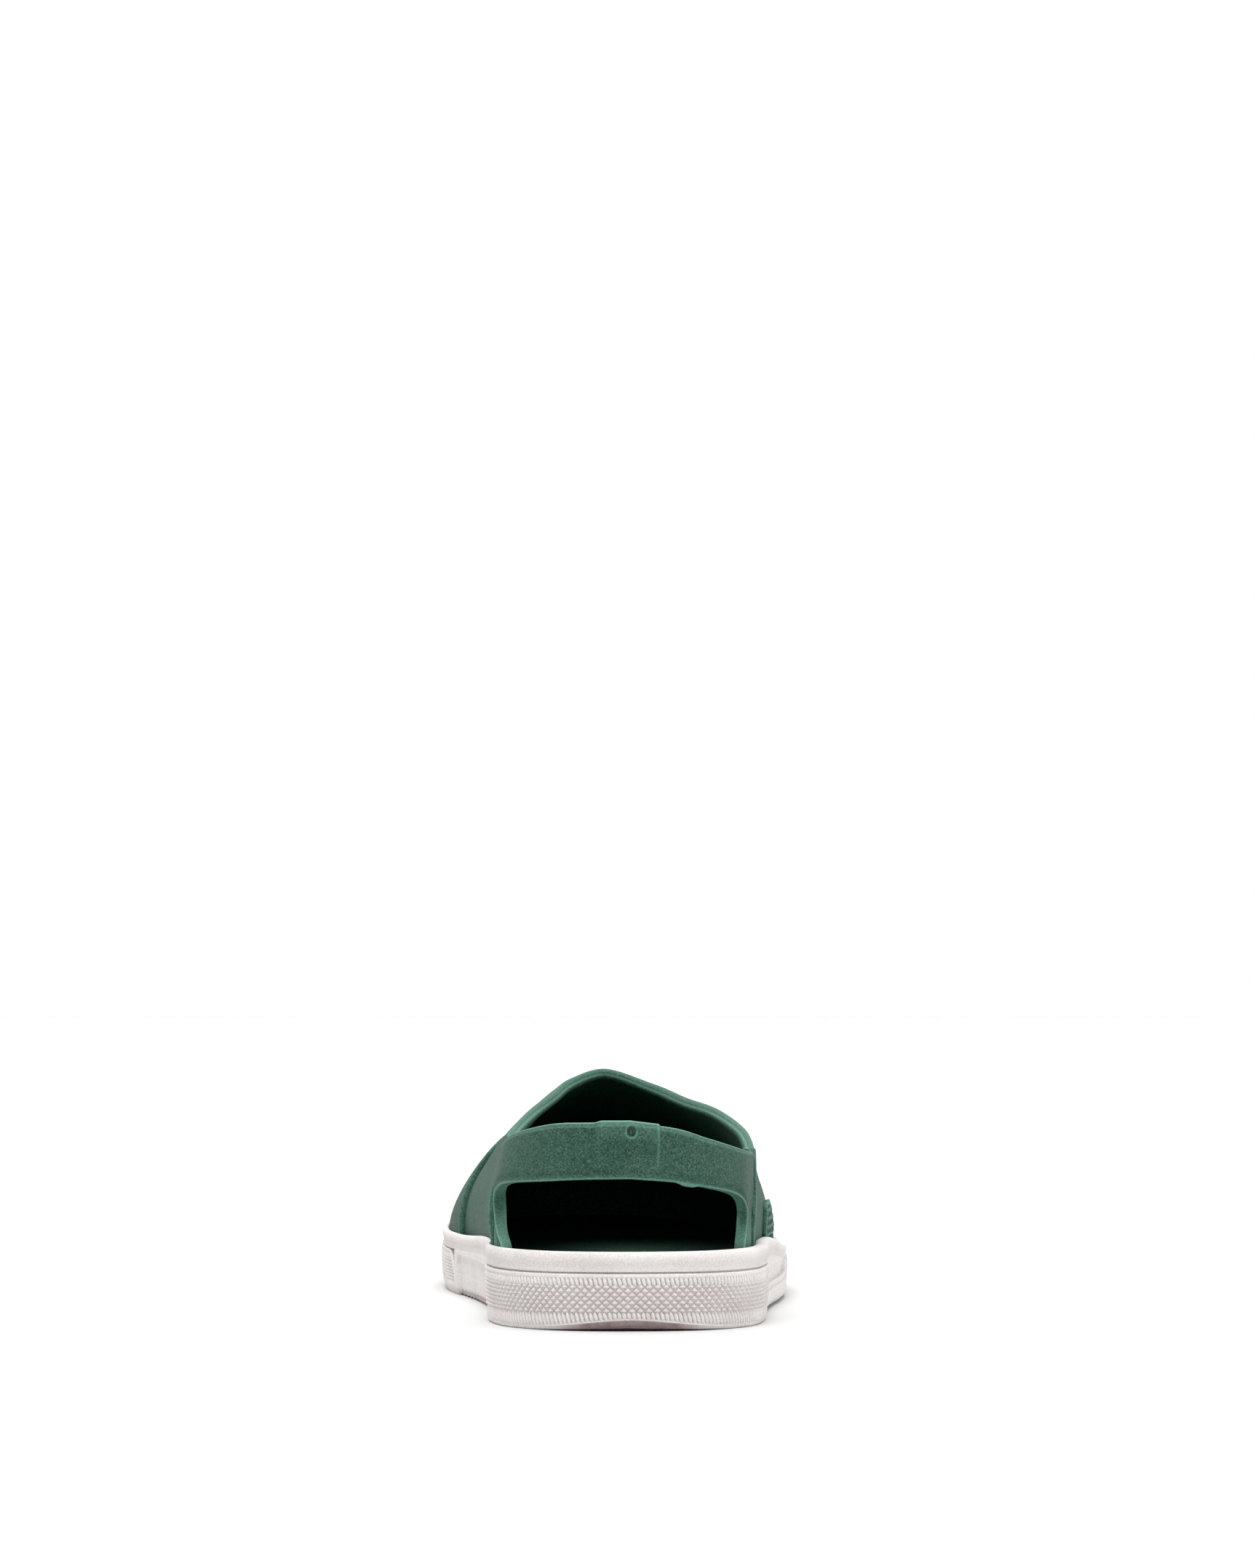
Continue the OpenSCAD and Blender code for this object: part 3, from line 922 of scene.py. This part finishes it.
# collar point, handle down the surface, height and swell of the handle above the rim
collarRows = [
    ([36.2, -91, 47.8], [0.3, 0.5, -9], 9, 0),
    ([34.6, -68, 52.9], [4, 6, -11], 8, 0.5),
    ([27.7, -42, 58], [10, 14, -12], 9, 0.5),
    ([19.4, -14, 60.7], [18, 30, -14], 9, 0.5),
    ([10.5, 6, 64.4], [13, 54, -14], 14, 2),
    ([-3.7, 12.5, 69], [-3, 64, -16], 19, 4),
    ([-14.5, 4, 66], [-15, 50, -15], 14, 2),
    ([-20.5, -20, 62], [-18, 26, -14], 9, 0),
    ([-27.3, -46, 57.7], [-8, 14, -13], 8, 0),
    ([-33, -70, 52.5], [-3.4, 6, -11], 8, 0.8),
    ([-34.9, -91, 49.6], [-2.4, 0.5, -9], 9, 1.6)]
collarPoints = np.array([r[0] for r in collarRows]) * [stretchX, stretchY, 1]
collarHandles = np.array([r[1] for r in collarRows], float)
rimHandles = np.array([r[2] for r in collarRows], float)
rimSwells = np.array([r[3] for r in collarRows], float)

upperShape = {
    "wall": 3.0,
    "columns": 330,
    "rows": 64,
    "innerRows": 26,
    "inCup": 0.18,
    "around": 560,         # about the length of the skin from one rear edge to the other
    "start": 3.34,
    "endReach": 0.07,
    "overlay": 1.8,        # how far the forefoot moulding stands out of the quarters
    "innerLean": 2.2,      # the inner quarter's rear corner leans in
    "ridge": 0.35,         # the quarter swells a little at its rear edge
}
# rear edge of the quarters: outline index at heights from the rim up
ridgeHeights = [9, 21, 24, 29.5, 34, 39, 44, 48, 54]
ridgeOuter = [3.04, 3.04, 3.05, 3.10, 3.20, 3.27, 3.36, 3.46, 3.5]
ridgeInner = [3.04, 3.04, 3.05, 3.11, 3.19, 3.25, 3.36, 3.46, 3.5]


def bezier(a, b, c, d, t):
    k = 1 - t
    return k * k * k * a + 3 * k * k * t * b + 3 * k * t * t * c + t * t * t * d


def cornerLean(s, z):
    # extra inset of the inner quarter's rear corner and of the strap where it joins
    s = np.where(s > laps / 2, s - laps, s)
    return upperShape["innerLean"] * fade((z - 35) / 15) * fade((-s - 2.3) / 0.9) * fade((s + 5.0) / 1.1)


def upperSkin(u, v):
    u, v = np.broadcast_arrays(np.asarray(u, float), v)
    s = upperShape["start"] + u * (laps - 2 * upperShape["start"])
    r = u * (len(collarRows) - 1)
    out = outward(s)
    inset = cup["lip"] + shift(s)
    foot = wallPoint(s, inset, rim(edge(s)))
    base = wallPoint(s, inset, floorHeight(s))
    swell = along(rimSwells, r)[..., None]
    lift = along(rimHandles, r)[..., None]
    a = foot + np.concatenate([out * swell, lift], -1)
    c = along(collarPoints, r)
    k = v[..., None]
    inCup = upperShape["inCup"]
    straight = base + (foot - base) * k / inCup
    t = np.clip((k - inCup) / (1 - inCup), -1, 2)
    curved = bezier(foot, a, c + along(collarHandles, r), c, t)
    p = np.where(k < inCup, straight, curved)
    near = 1 - np.minimum(u, 1 - u) / upperShape["endReach"]
    goal = np.where(u < 0.5, np.interp(p[..., 2], ridgeHeights, ridgeOuter),
                    np.interp(p[..., 2], ridgeHeights, ridgeInner))
    slip = np.where(near > 0, (goal - upperShape["start"]) * fade(near), 0)
    at = np.where(u < 0.5, s + slip, s - slip)
    d = edge(at) - edge(s) - cornerLean(at, p[..., 2])[..., None] * out
    return p + np.concatenate([d, np.zeros(d.shape[:-1] + (1,))], -1)


def skinNormal(u, v):
    e = 0.004
    across = upperSkin(np.minimum(1, u + e), v) - upperSkin(np.maximum(0, u - e), v)
    up = upperSkin(u, np.minimum(1, v + e)) - upperSkin(u, np.maximum(0, v - e))
    n = np.cross(across, up)
    return n / np.linalg.norm(n, axis=-1, keepdims=True)


def sinkY(z):
    return 30 + 0.42 * (z - 20)


def stepY(z):
    # where the forefoot moulding begins, further forward as it climbs
    return sinkY(z) + 20 * fade((z - 42) / 13)


def quarterSink(p):
    # the quarters sink towards the forefoot moulding, and stay under it
    ahead = p[..., 1] - sinkY(p[..., 2])
    return upperShape["overlay"] * fade((ahead + 50) / 50)


def rounded(d, r):
    # drop of a rounded edge of radius r at distance d from it
    k = np.clip(d, 0, r)
    return r - np.sqrt(np.maximum(0, r * r - (r - k) ** 2))


def buildUpper():
    # columns crowd together at the two rear edges, rows at the collar
    around = upperShape["around"]
    edgeStops = np.array([0, 0.05, 0.15, 0.32, 0.55, 0.85, 1.2, 1.7]) / around
    middle = np.linspace(2.6 / around, 1 - 2.6 / around, upperShape["columns"])
    u = np.concatenate([edgeStops, middle, 1 - edgeStops[::-1]])
    gap = np.minimum(u, 1 - u) * around
    stops = np.array([3.4, 2.6, 2.0, 1.5, 1.1, 0.8, 0.55, 0.35, 0.2, 0.08, 0.02, 0])
    tall = np.linalg.norm(upperSkin(u, np.full_like(u, 0.97)) - upperSkin(u, np.ones_like(u)), axis=-1) / 0.03
    wall = upperShape["wall"]
    rearDrop = rounded(gap, 0.6)
    # painted highlight: a light line along each rear edge
    rearTint = 0.5 * bell(gap - 0.35, 0.35)
    layers, tints = [], []

    def layer(v, drop, tint, grow=0.0):
        p = upperSkin(u, v)
        n = skinNormal(u, v)
        rise = upperShape["ridge"] * fade(1 - gap / 14) * fade((p[..., 2] - 24) / 5)
        up = upperSkin(u, np.ones_like(u)) - upperSkin(u, np.full_like(u, 0.97))
        up = up / np.linalg.norm(up, axis=-1, keepdims=True)
        sink = quarterSink(p) * fade((wall - drop) / wall)
        layers.append(p - (drop + sink - rise * fade((wall - drop) / wall))[..., None] * n + grow * up)
        tints.append(np.maximum(np.broadcast_to(tint, u.shape), rearTint * fade((2 - drop) / 1)))

    for j in np.linspace(0, 1, upperShape["rows"])[:-1]:
        layer(j * (1 - 4.0 / tall), rearDrop, 0.0)
    for d in stops:
        # painted highlight along the collar's outer edge
        line = 0.4 * bell(d - 0.1, 0.3)
        layer(1 - d / tall, np.maximum(rounded(d, 0.55), rearDrop), line)
    # the collar's top is painted lighter as painted highlight
    for drop, grow in ((0.7, 0.06), (0.95, 0.12), (1.2, 0.14), (1.45, 0.12), (1.7, 0.04)):
        layer(np.ones_like(u), np.maximum(drop, np.minimum(rearDrop, 2.4)), 0.28, grow)
    for d in stops[::-1]:
        # painted highlight along the collar's inner edge
        line = 0.6 * bell(d - 0.05, 0.2)
        roll = 0.35 * fade(1 - d / 6)
        drop = wall + roll - rounded(d, 1.6)
        layer(1 - d / tall, np.maximum(drop - rearDrop, 0.9), line)
    for j in np.linspace(1, 0, upperShape["innerRows"]):
        v = j * (1 - 4.0 / tall)
        d = (1 - v) * tall
        layer(v, wall + 0.35 * fade(1 - d / 6) - rearDrop, 0.0)
    points = np.stack(layers, 1)
    count, ring = points.shape[:2]
    faces = gridFaces(count, ring, wrapCols=True)
    # rear faces: triangles between the outer and the inner skin
    outs = upperShape["rows"] - 1 + len(stops)
    ins = ring - outs
    for start in (0, (count - 1) * ring):
        a, b = 0, ring - 1
        while a + 1 < b:
            # step along whichever side lags behind
            if a / outs <= (ring - 1 - b) / ins:
                faces.append((start + a, start + a + 1, start + b))
                a += 1
            else:
                faces.append((start + a, start + b - 1, start + b))
                b -= 1
    return makePiece("upper", points, faces, greenRubber, np.stack(tints, 1))


upper = place(buildUpper(), "shoe", "upper_rubber", "upper")
print("upper made:", len(upper.data.polygons))

# Forefoot moulding

forefoot = {"columns": 260, "rows": 60, "edgeRadius": 0.6, "depth": 2.6}


def stepLine(us):
    # v on the skin where it meets the step's line, for each u
    low, high = np.full_like(us, upperShape["inCup"]), np.ones_like(us)
    for _ in range(30):
        mid = (low + high) / 2
        p = upperSkin(us, mid)
        ahead = p[..., 1] - stepY(p[..., 2]) > 0
        low = np.where(ahead, mid, low)
        high = np.where(ahead, high, mid)
    return (low + high) / 2


def buildForefoot():
    # the step's two ends on the rim
    us = np.linspace(0.1, 0.9, 2000)
    base = upperSkin(us, np.full_like(us, upperShape["inCup"]))
    ahead = base[:, 1] - stepY(base[:, 2]) > 0
    first, last = us[ahead][0], us[ahead][-1]
    a = np.linspace(0, 1, forefoot["columns"])
    a = a - 0.03 * np.sin(2 * np.pi * a)    # closer together at the ends
    u = first + (last - first) * a
    top = stepLine(u)
    under = upperShape["inCup"] * 0.55
    # distances from the edge, in share of the way down to the rim
    spans = np.linalg.norm(upperSkin(u, top) - upperSkin(u, np.full_like(u, under)), axis=-1)
    spans = np.maximum(spans, 1.0)
    stops = [0, 0.03, 0.1, 0.22, 0.4, 0.65, 1.0, 1.5, 2.2]
    ways = [np.minimum(d / spans, 0.9 * k / len(stops) + 0.02) for k, d in enumerate(stops)]
    ways[0] = np.zeros_like(u)
    tail = ways[-1]
    for k in np.linspace(0, 1, forefoot["rows"])[1:]:
        ways.append(tail + (1 - tail) * k)
    outer, inner, tints = [], [], []
    for w in ways:
        v = top + (under - top) * w
        p = upperSkin(u, v)
        n = skinNormal(u, v)
        d = w * spans
        drop = rounded(d, forefoot["edgeRadius"])
        outer.append(p - drop[..., None] * n)
        inner.append(p - np.full_like(u, forefoot["depth"])[..., None] * n)
        # painted highlight along the step's edge
        tints.append(0.18 * bell(d - 0.4, 0.5))
    points = np.stack(outer + inner[::-1], 1)
    tints = np.stack(tints + [np.zeros_like(u)] * len(inner), 1)
    return makePiece("forefootMoulding", points, tubeFaces(points), greenRubber, tints)


place(buildForefoot(), "shoe", "upper_rubber")
print("forefoot moulding made")

# Heel strap

strapShape = {
    "thick": 3.0,
    "columns": 420,
    "rows": 34,
    "bead": 0.30,          # thin bead along the lower edge
    "padHalf": 9.2,        # half the width of the raised pad at the back
    "padMiddle": -0.6,
    "padRise": 0.65,
    "padDish": 1.0,
    "gate": (0.2, 54.0, 1.3),    # gate mark: x, height and radius
    "gateDepth": 1.0,
}
# window edge and outer edge of the strap and its legs, as outline index and height,
# from the back of the heel down to the foot of each leg
windowOuter = [[0, 41.2], [0.55, 40.3], [1.0, 39.0], [1.7, 36.8], [2.02, 34.9], [2.27, 32.4], [2.38, 30.0],
               [2.32, 27.6], [2.2, 24.4], [2.1, 21.4], [2.0, 12.8]]
topOuter = [[0, 56.6], [0.6, 55.0], [1.15, 52.2], [2.0, 48.9], [2.75, 47.5], [3.42, 46.3], [3.62, 42],
            [3.55, 36], [3.45, 29], [3.35, 22], [3.3, 12.8]]
windowInner = [[0, 41.2], [0.6, 41.0], [1.2, 40.4], [2.1, 39.3], [2.55, 37.4], [2.84, 34.8], [2.88, 32.0],
               [2.68, 28.6], [2.42, 24.4], [2.25, 21.4], [2.1, 12.8]]
topInner = [[0, 56.6], [0.6, 56.5], [1.2, 56.0], [2.1, 53.2], [2.8, 50.4], [3.42, 48.2], [3.62, 44],
            [3.58, 37], [3.5, 30], [3.4, 22], [3.3, 12.8]]
leans = [3.5, 2.6, 1.2, 0.6, 0, 0, 0]


def strapInset(s, z):
    # inset of the strap's outer face: legs lie lower than the quarters beside them
    r = np.clip(s + 3, 0, 6)
    rise = np.clip((z - 41.2) / 15.4, 0, 1)
    legs = np.where(s > 0, fade((s - 1.9) / 0.8), fade((-s - 2.45) / 0.8))
    low = fade((38 - z) / 10)
    lean = along(leans, r) * rise * (1 - 0.8 * legs) + cornerLean(s, z)
    return 2.6 + shift(s) + lean + legs * (0.55 + 0.5 * low)


def buildStrap():
    knots = len(windowOuter) - 1
    fine = np.linspace(-knots, knots, 1600)

    def both(outer, inner, q):
        side = np.abs(q)
        first = along(np.array(outer, float), side)
        second = along(np.array(inner, float), side) * [-1, 1]
        return np.where((q > 0)[:, None], first, second)

    # columns are spread evenly over the strap's middle line, closer at the back
    w, o = both(windowOuter, windowInner, fine), both(topOuter, topInner, fine)
    mid = (w + o) / 2
    track = wallPoint(mid[:, 0], strapInset(mid[:, 0], mid[:, 1]), mid[:, 1])
    steps = np.linalg.norm(np.diff(track, axis=0), axis=1)
    density = 1 + 2.5 * bell(track[:-1, 0], 9, 4) * (track[:-1, 1] < -130)
    run = np.concatenate([[0], np.cumsum(steps * density)])
    q = np.interp(np.linspace(0, run[-1], strapShape["columns"]), run, fine)
    w, o = both(windowOuter, windowInner, q), both(topOuter, topInner, q)
    s0, s1 = w[:, 0], o[:, 0]
    z0, z1 = w[:, 1], o[:, 1]
    reach = wallPoint(s1, strapInset(s1, z1), z1) - wallPoint(s0, strapInset(s0, z0), z0)
    reach = np.linalg.norm(reach, axis=1)
    stops = np.array([0, 0.04, 0.12, 0.25, 0.42, 0.62, 0.85, 1.15, 1.5, 2.0, 2.6, 3.2])
    ways = [d / reach for d in stops]
    for k in np.linspace(0, 1, strapShape["rows"])[1:-1]:
        ways.append(stops[-1] / reach + (1 - 2 * stops[-1] / reach) * k)
    ways += [1 - d / reach for d in stops[::-1]]
    atBack = np.where(np.abs(s0) < 1.2, 1.0, 0.0)
    gateX, gateZ, gateRadius = strapShape["gate"]
    outer, inner, tints = [], [], []
    for t in ways:
        s = s0 + (s1 - s0) * t
        z = z0 + (z1 - z0) * t
        fromLow, fromTop = t * reach, (1 - t) * reach
        x = edge(s)[:, 0]
        drop = np.maximum(rounded(fromLow, 0.5), rounded(fromTop, 0.9))
        # painted highlights: light lines along the lower and top edges, and a lighter top face
        tint = 0.7 * bell(fromLow - 0.3, 0.22) + 0.9 * bell(fromTop, 0.22)
        tint = tint + 0.4 * bell(fromTop - 1.05, 0.25) + 0.15 * fade((1 - fromTop) / 0.5)
        # bead on the lower edge, with a cove above it
        drop = drop - strapShape["bead"] * bell(fromLow - 0.5, 0.4)
        drop = drop + 0.45 * bell(fromLow - 1.6, 0.7)
        # raised pad at the back, dished below its top
        offPad = np.abs(x - strapShape["padMiddle"]) - strapShape["padHalf"]
        inPad = fade(-offPad / np.where(x > 0, 0.8, 2.2) + 0.5) * atBack
        high = fade((9.5 - fromTop) / 6)
        drop = drop - strapShape["padRise"] * inPad * high
        dish = bell(fromTop - 9.5, 4.2) * bell(x, 7.5, 4)
        drop = drop + strapShape["padDish"] * inPad * dish
        crease = bell(offPad, 0.45) * atBack * fade((13.5 - fromTop) / 2.5)
        drop = drop + 0.22 * crease
        side = bell(offPad + 0.5, 0.4) * atBack * fade((12.5 - fromTop) / 2.5)
        # painted highlight on the pad's side edges, brighter on the right, and on its top
        tint = tint + side * np.where(x > 0, 0.28, 0.08) + 0.16 * inPad * fade((6 - fromTop) / 5)
        # fan creases at the foot of each leg
        legs = fade((31 - z) / 9) * fade((np.abs(s) - 1.9) / 0.3)
        fan = 0.5 - 0.5 * np.cos(2 * np.pi * 3.0 * np.clip(fromLow / 11, 0, 1))
        drop = drop + legs * 0.55 * fan
        # painted highlight on the crests between the fan creases
        tint = tint + 0.35 * legs * (1 - fan) ** 2
        # valley beside the quarter's rear edge
        valley = fade((45 - z) / 8) * bell(fromLow - reach * 0.42, 2.2)
        drop = drop + 0.35 * valley * fade((np.abs(s) - 2.3) / 0.4)
        # gate mark: a round dimple with a ragged stub in it
        near = np.hypot(x - gateX, z - gateZ)
        ragged = 1 + 0.25 * np.sin(5 * np.arctan2(z - gateZ, x - gateX))
        drop = drop + strapShape["gateDepth"] * fade((gateRadius - near) / 0.35 + 0.5) * atBack
        drop = drop - 0.75 * fade((0.5 * ragged - near) / 0.25 + 0.5) * atBack
        ring = bell(near - gateRadius - 0.3, 0.25) * atBack
        drop = drop - 0.2 * ring
        # painted highlight on the gate mark's ring, brighter on its lower side
        tint = tint + ring * np.where(z < gateZ, 0.6, 0.15)
        padLift = 0.5 * inPad * fade((3.0 - fromTop) / 2.5)
        # a sliver of mould flash under the outer end of the lower edge
        flash = 0.7 * bell(x - 17, 2.8, 4) * fade((0.7 - fromLow) / 0.6) * atBack
        outer.append(wallPoint(s, strapInset(s, z) + drop, z + padLift - flash))
        tints.append(tint)
        back = strapShape["thick"] + 0.35 * fade((np.abs(s) - 2.4) / 0.5)
        soft = np.maximum(rounded(fromLow, 0.7), rounded(fromTop, 0.9))
        inner.append(wallPoint(s, strapInset(s, z) + back - soft, z + padLift))
    # painted highlights along the inner skin's edges
    tints += [0.5 * bell((1 - t) * reach, 0.3) + 0.5 * bell(t * reach - 0.2, 0.3)
              for t in ways[::-1]]
    points = np.stack(outer + inner[::-1], 1)
    count, ring = points.shape[:2]
    faces = gridFaces(count, ring, wrapCols=True)
    half = ring // 2
    for start in (0, (count - 1) * ring):
        for k in range(half - 1):
            faces.append((start + k, start + k + 1, start + ring - 2 - k, start + ring - 1 - k))
    return makePiece("heelStrap", points, faces, greenRubber, np.stack(tints, 1))


heelStrap = place(buildStrap(), None, "upper_rubber", "heel_strap")
hinge = frame["joints"][0]
hingeY, hingeZ = hinge["pos_m"][1], hinge["pos_m"][2]
# where the strap starts to move and where it moves fully, from the hinge, in metres
strapBlend = {"startDown": 0.0036, "endBack": 0.020, "endUp": 0.0164}
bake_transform(heelStrap, hinge["parent"], hinge["child"],
         start=(0, hingeY, hingeZ - strapBlend["startDown"]),
         end=(0, hingeY - strapBlend["endBack"], hingeZ + strapBlend["endUp"]))
print("heel strap made:", len(heelStrap.data.polygons))

# Side badge

badgeShape = {"length": 30.0, "height": 9.5, "low": 20.4, "middle": -20.0, "rise": 1.3,
              "columns": 110, "rows": 40, "sunk": 0.9, "lines": 3, "lozenge": 4.6,
              "corner": 1.6, "margin": 1.2}


def seatOn(y, z, u, v):
    # finds u and v where the skin is at y and z
    for _ in range(16):
        p = upperSkin(u, v)
        u = u + (y - p[..., 1]) / upperShape["around"]
        v = np.clip(v + (z - p[..., 2]) / 50, 0.0, 0.98)
    return u, v


def buildBadge():
    half = badgeShape["length"] / 2
    tall = badgeShape["height"]
    stopsA = np.array([0, 0.04, 0.12, 0.25, 0.45, 0.7])
    middleA = np.linspace(1.0, 2 * half - 1.0, badgeShape["columns"])
    middleB = np.linspace(1.0, tall - 1.0, badgeShape["rows"])
    a = np.concatenate([stopsA, middleA, 2 * half - stopsA[::-1]])
    b = np.concatenate([stopsA, middleB, tall - stopsA[::-1]])
    aa, bb = np.meshgrid(a, b, indexing="ij")
    # rounded corners
    cx, cz = aa - half, bb - tall / 2
    corner = badgeShape["corner"]
    dx = np.maximum(np.abs(cx) - (half - corner), 0)
    dz = np.maximum(np.abs(cz) - (tall / 2 - corner), 0)
    both = np.hypot(dx, dz)
    squeeze = np.where((dx > 0) & (dz > 0), np.maximum(dx, dz) / np.maximum(both, 1e-6), 1)
    cx = np.sign(cx) * (np.minimum(np.abs(cx), half - corner) + dx * squeeze)
    cz = np.sign(cz) * (np.minimum(np.abs(cz), tall / 2 - corner) + dz * squeeze)
    inner = np.minimum(half - np.abs(cx), tall / 2 - np.abs(cz))
    inner = np.where(both > 0, np.minimum(inner, corner - np.hypot(dx, dz) * squeeze), inner)
    y = badgeShape["middle"] + cx
    z = badgeShape["low"] + tall / 2 + cz
    u, v = seatOn(y, z, np.full_like(y, 0.12), np.full_like(y, 0.3))
    p, n = upperSkin(u, v), skinNormal(u, v)
    sink = quarterSink(p)
    # rim, sunk field and rows of blank lozenges
    rise = badgeShape["rise"] - rounded(inner, 0.3)
    # painted highlight along the rim's edge
    tint = 0.55 * bell(inner - 0.25, 0.3)
    rise = rise - badgeShape["sunk"] * fade((inner - 0.8) / 0.25)
    margin = badgeShape["margin"]
    field = fade((inner - margin) / 0.25)
    height = (cz + tall / 2 - margin) / (tall - 2 * margin) * badgeShape["lines"]
    across = (cx / badgeShape["lozenge"] + 0.5 * np.floor(height)) % 1 - 0.5
    upright = height % 1 - 0.5
    lump = field * fade((0.5 - np.abs(across) * 1.05) / 0.2) * fade((0.5 - np.abs(upright) * 1.15) / 0.25)
    rise = rise + badgeShape["sunk"] * 1.15 * lump
    # painted highlight on the lozenges' upper halves
    tint = tint + 0.45 * lump * fade((upright + 0.15) / 0.3)
    top = p + (rise - sink)[..., None] * n
    foot = p + (-0.8 - sink)[..., None] * n
    rows, cols = top.shape[:2]
    points = np.concatenate([top.reshape(-1, 3), foot.reshape(-1, 3)])
    tint = np.concatenate([tint.ravel(), np.zeros(tint.size)])
    size = rows * cols
    faces = gridFaces(rows, cols) + [f[::-1] for f in gridFaces(rows, cols, offset=size)]
    border = list(range(cols)) + [r * cols + cols - 1 for r in range(1, rows)]
    border += [(rows - 1) * cols + c for c in range(cols - 2, -1, -1)]
    border += [r * cols for r in range(rows - 2, 0, -1)]
    for i, k in enumerate(border):
        m = border[(i + 1) % len(border)]
        faces.append((k, m, m + size, k + size))
    return makePiece("sideBadge", points, faces, greenRubber, tint)


place(buildBadge(), "shoe", "upper_rubber", "side_badge")
print("badge made")

# Studio

studio = {
    "cameraPlace": (-0.0345, -1.515, 0.095),
    "yaw": 1.4,
    "pitch": 2.24,
    "lens": 115.87,
    "floorSize": 40.0,
    "backdropY": 12.0,
    "backdropGlow": 1.0,
    "skyStrength": 0.30,
    # elevation, turn to the camera's right, softness (all degrees), strength
    "suns": {"keySun": (61, -12, 40, 1.8), "backSun": (105, 8, 50, 1.6), "rightSun": (24, 72, 50, 0.75),
             "leftSun": (24, -72, 50, 0.2)},
}


def flatSheet(name, corners):
    mesh = bpy.data.meshes.new(name)
    mesh.from_pydata(corners, [], [(0, 1, 2, 3)])
    return newObject(name, mesh)


def makeFloor():
    half = studio["floorSize"] / 2
    floor = flatSheet("studioFloor", [(-half, -half, 0), (half, -half, 0), (half, half, 0), (-half, half, 0)])
    material, g = newMaterial("floorPaper")
    place = g.out(g.add("ShaderNodeTexCoord", {}, {}), "Object")
    cloud = g.add("ShaderNodeTexNoise", {}, {"Vector": place, "Scale": 3.0, "Detail": 2.0})
    colour = g.mix(cloud, (0.735, 0.735, 0.735, 1), (0.745, 0.745, 0.745, 1))
    finishMaterial(g, {"Specular IOR Level": 0.1, "Roughness": 0.9}, {"Base Color": colour})
    floor.data.materials.append(material)


def makeBackdrop():
    half, y = studio["floorSize"] / 2, studio["backdropY"]
    backdrop = flatSheet("studioBackdrop", [(-half, y, -1), (half, y, -1), (half, y, 12), (-half, y, 12)])
    material, g = newMaterial("backdropGlow")
    finishMaterial(g, {"Base Color": (0, 0, 0, 1), "Emission Color": (1, 1, 1, 1),
                       "Emission Strength": studio["backdropGlow"], "Specular IOR Level": 0.0}, {})
    backdrop.data.materials.append(material)


def makeSun(name, elevation, turn, softness, strength):
    data = bpy.data.lights.new(name, "SUN")
    data.energy = strength
    data.angle = math.radians(softness)
    light = newObject(name, data)
    light.rotation_euler = (math.radians(90 - elevation), 0, math.radians(turn))


def makeStudio():
    scene = bpy.context.scene
    camera = newObject("camera", bpy.data.cameras.new("camera"))
    camera.location = studio["cameraPlace"]
    camera.rotation_euler = (math.radians(90 + studio["pitch"]), 0, math.radians(-studio["yaw"]))
    camera.data.lens = studio["lens"]
    camera.data.sensor_width = 36
    camera.data.clip_end = 100
    scene.camera = camera
    world = bpy.data.worlds.new("studioWorld")
    world.use_nodes = True
    world.node_tree.nodes["Background"].inputs["Color"].default_value = (1, 1, 1, 1)
    world.node_tree.nodes["Background"].inputs["Strength"].default_value = studio["skyStrength"]
    scene.world = world
    scene.view_settings.view_transform = "Standard"
    makeFloor()
    makeBackdrop()
    for name, values in studio["suns"].items():
        makeSun(name, *values)


makeStudio()
print("studio made")
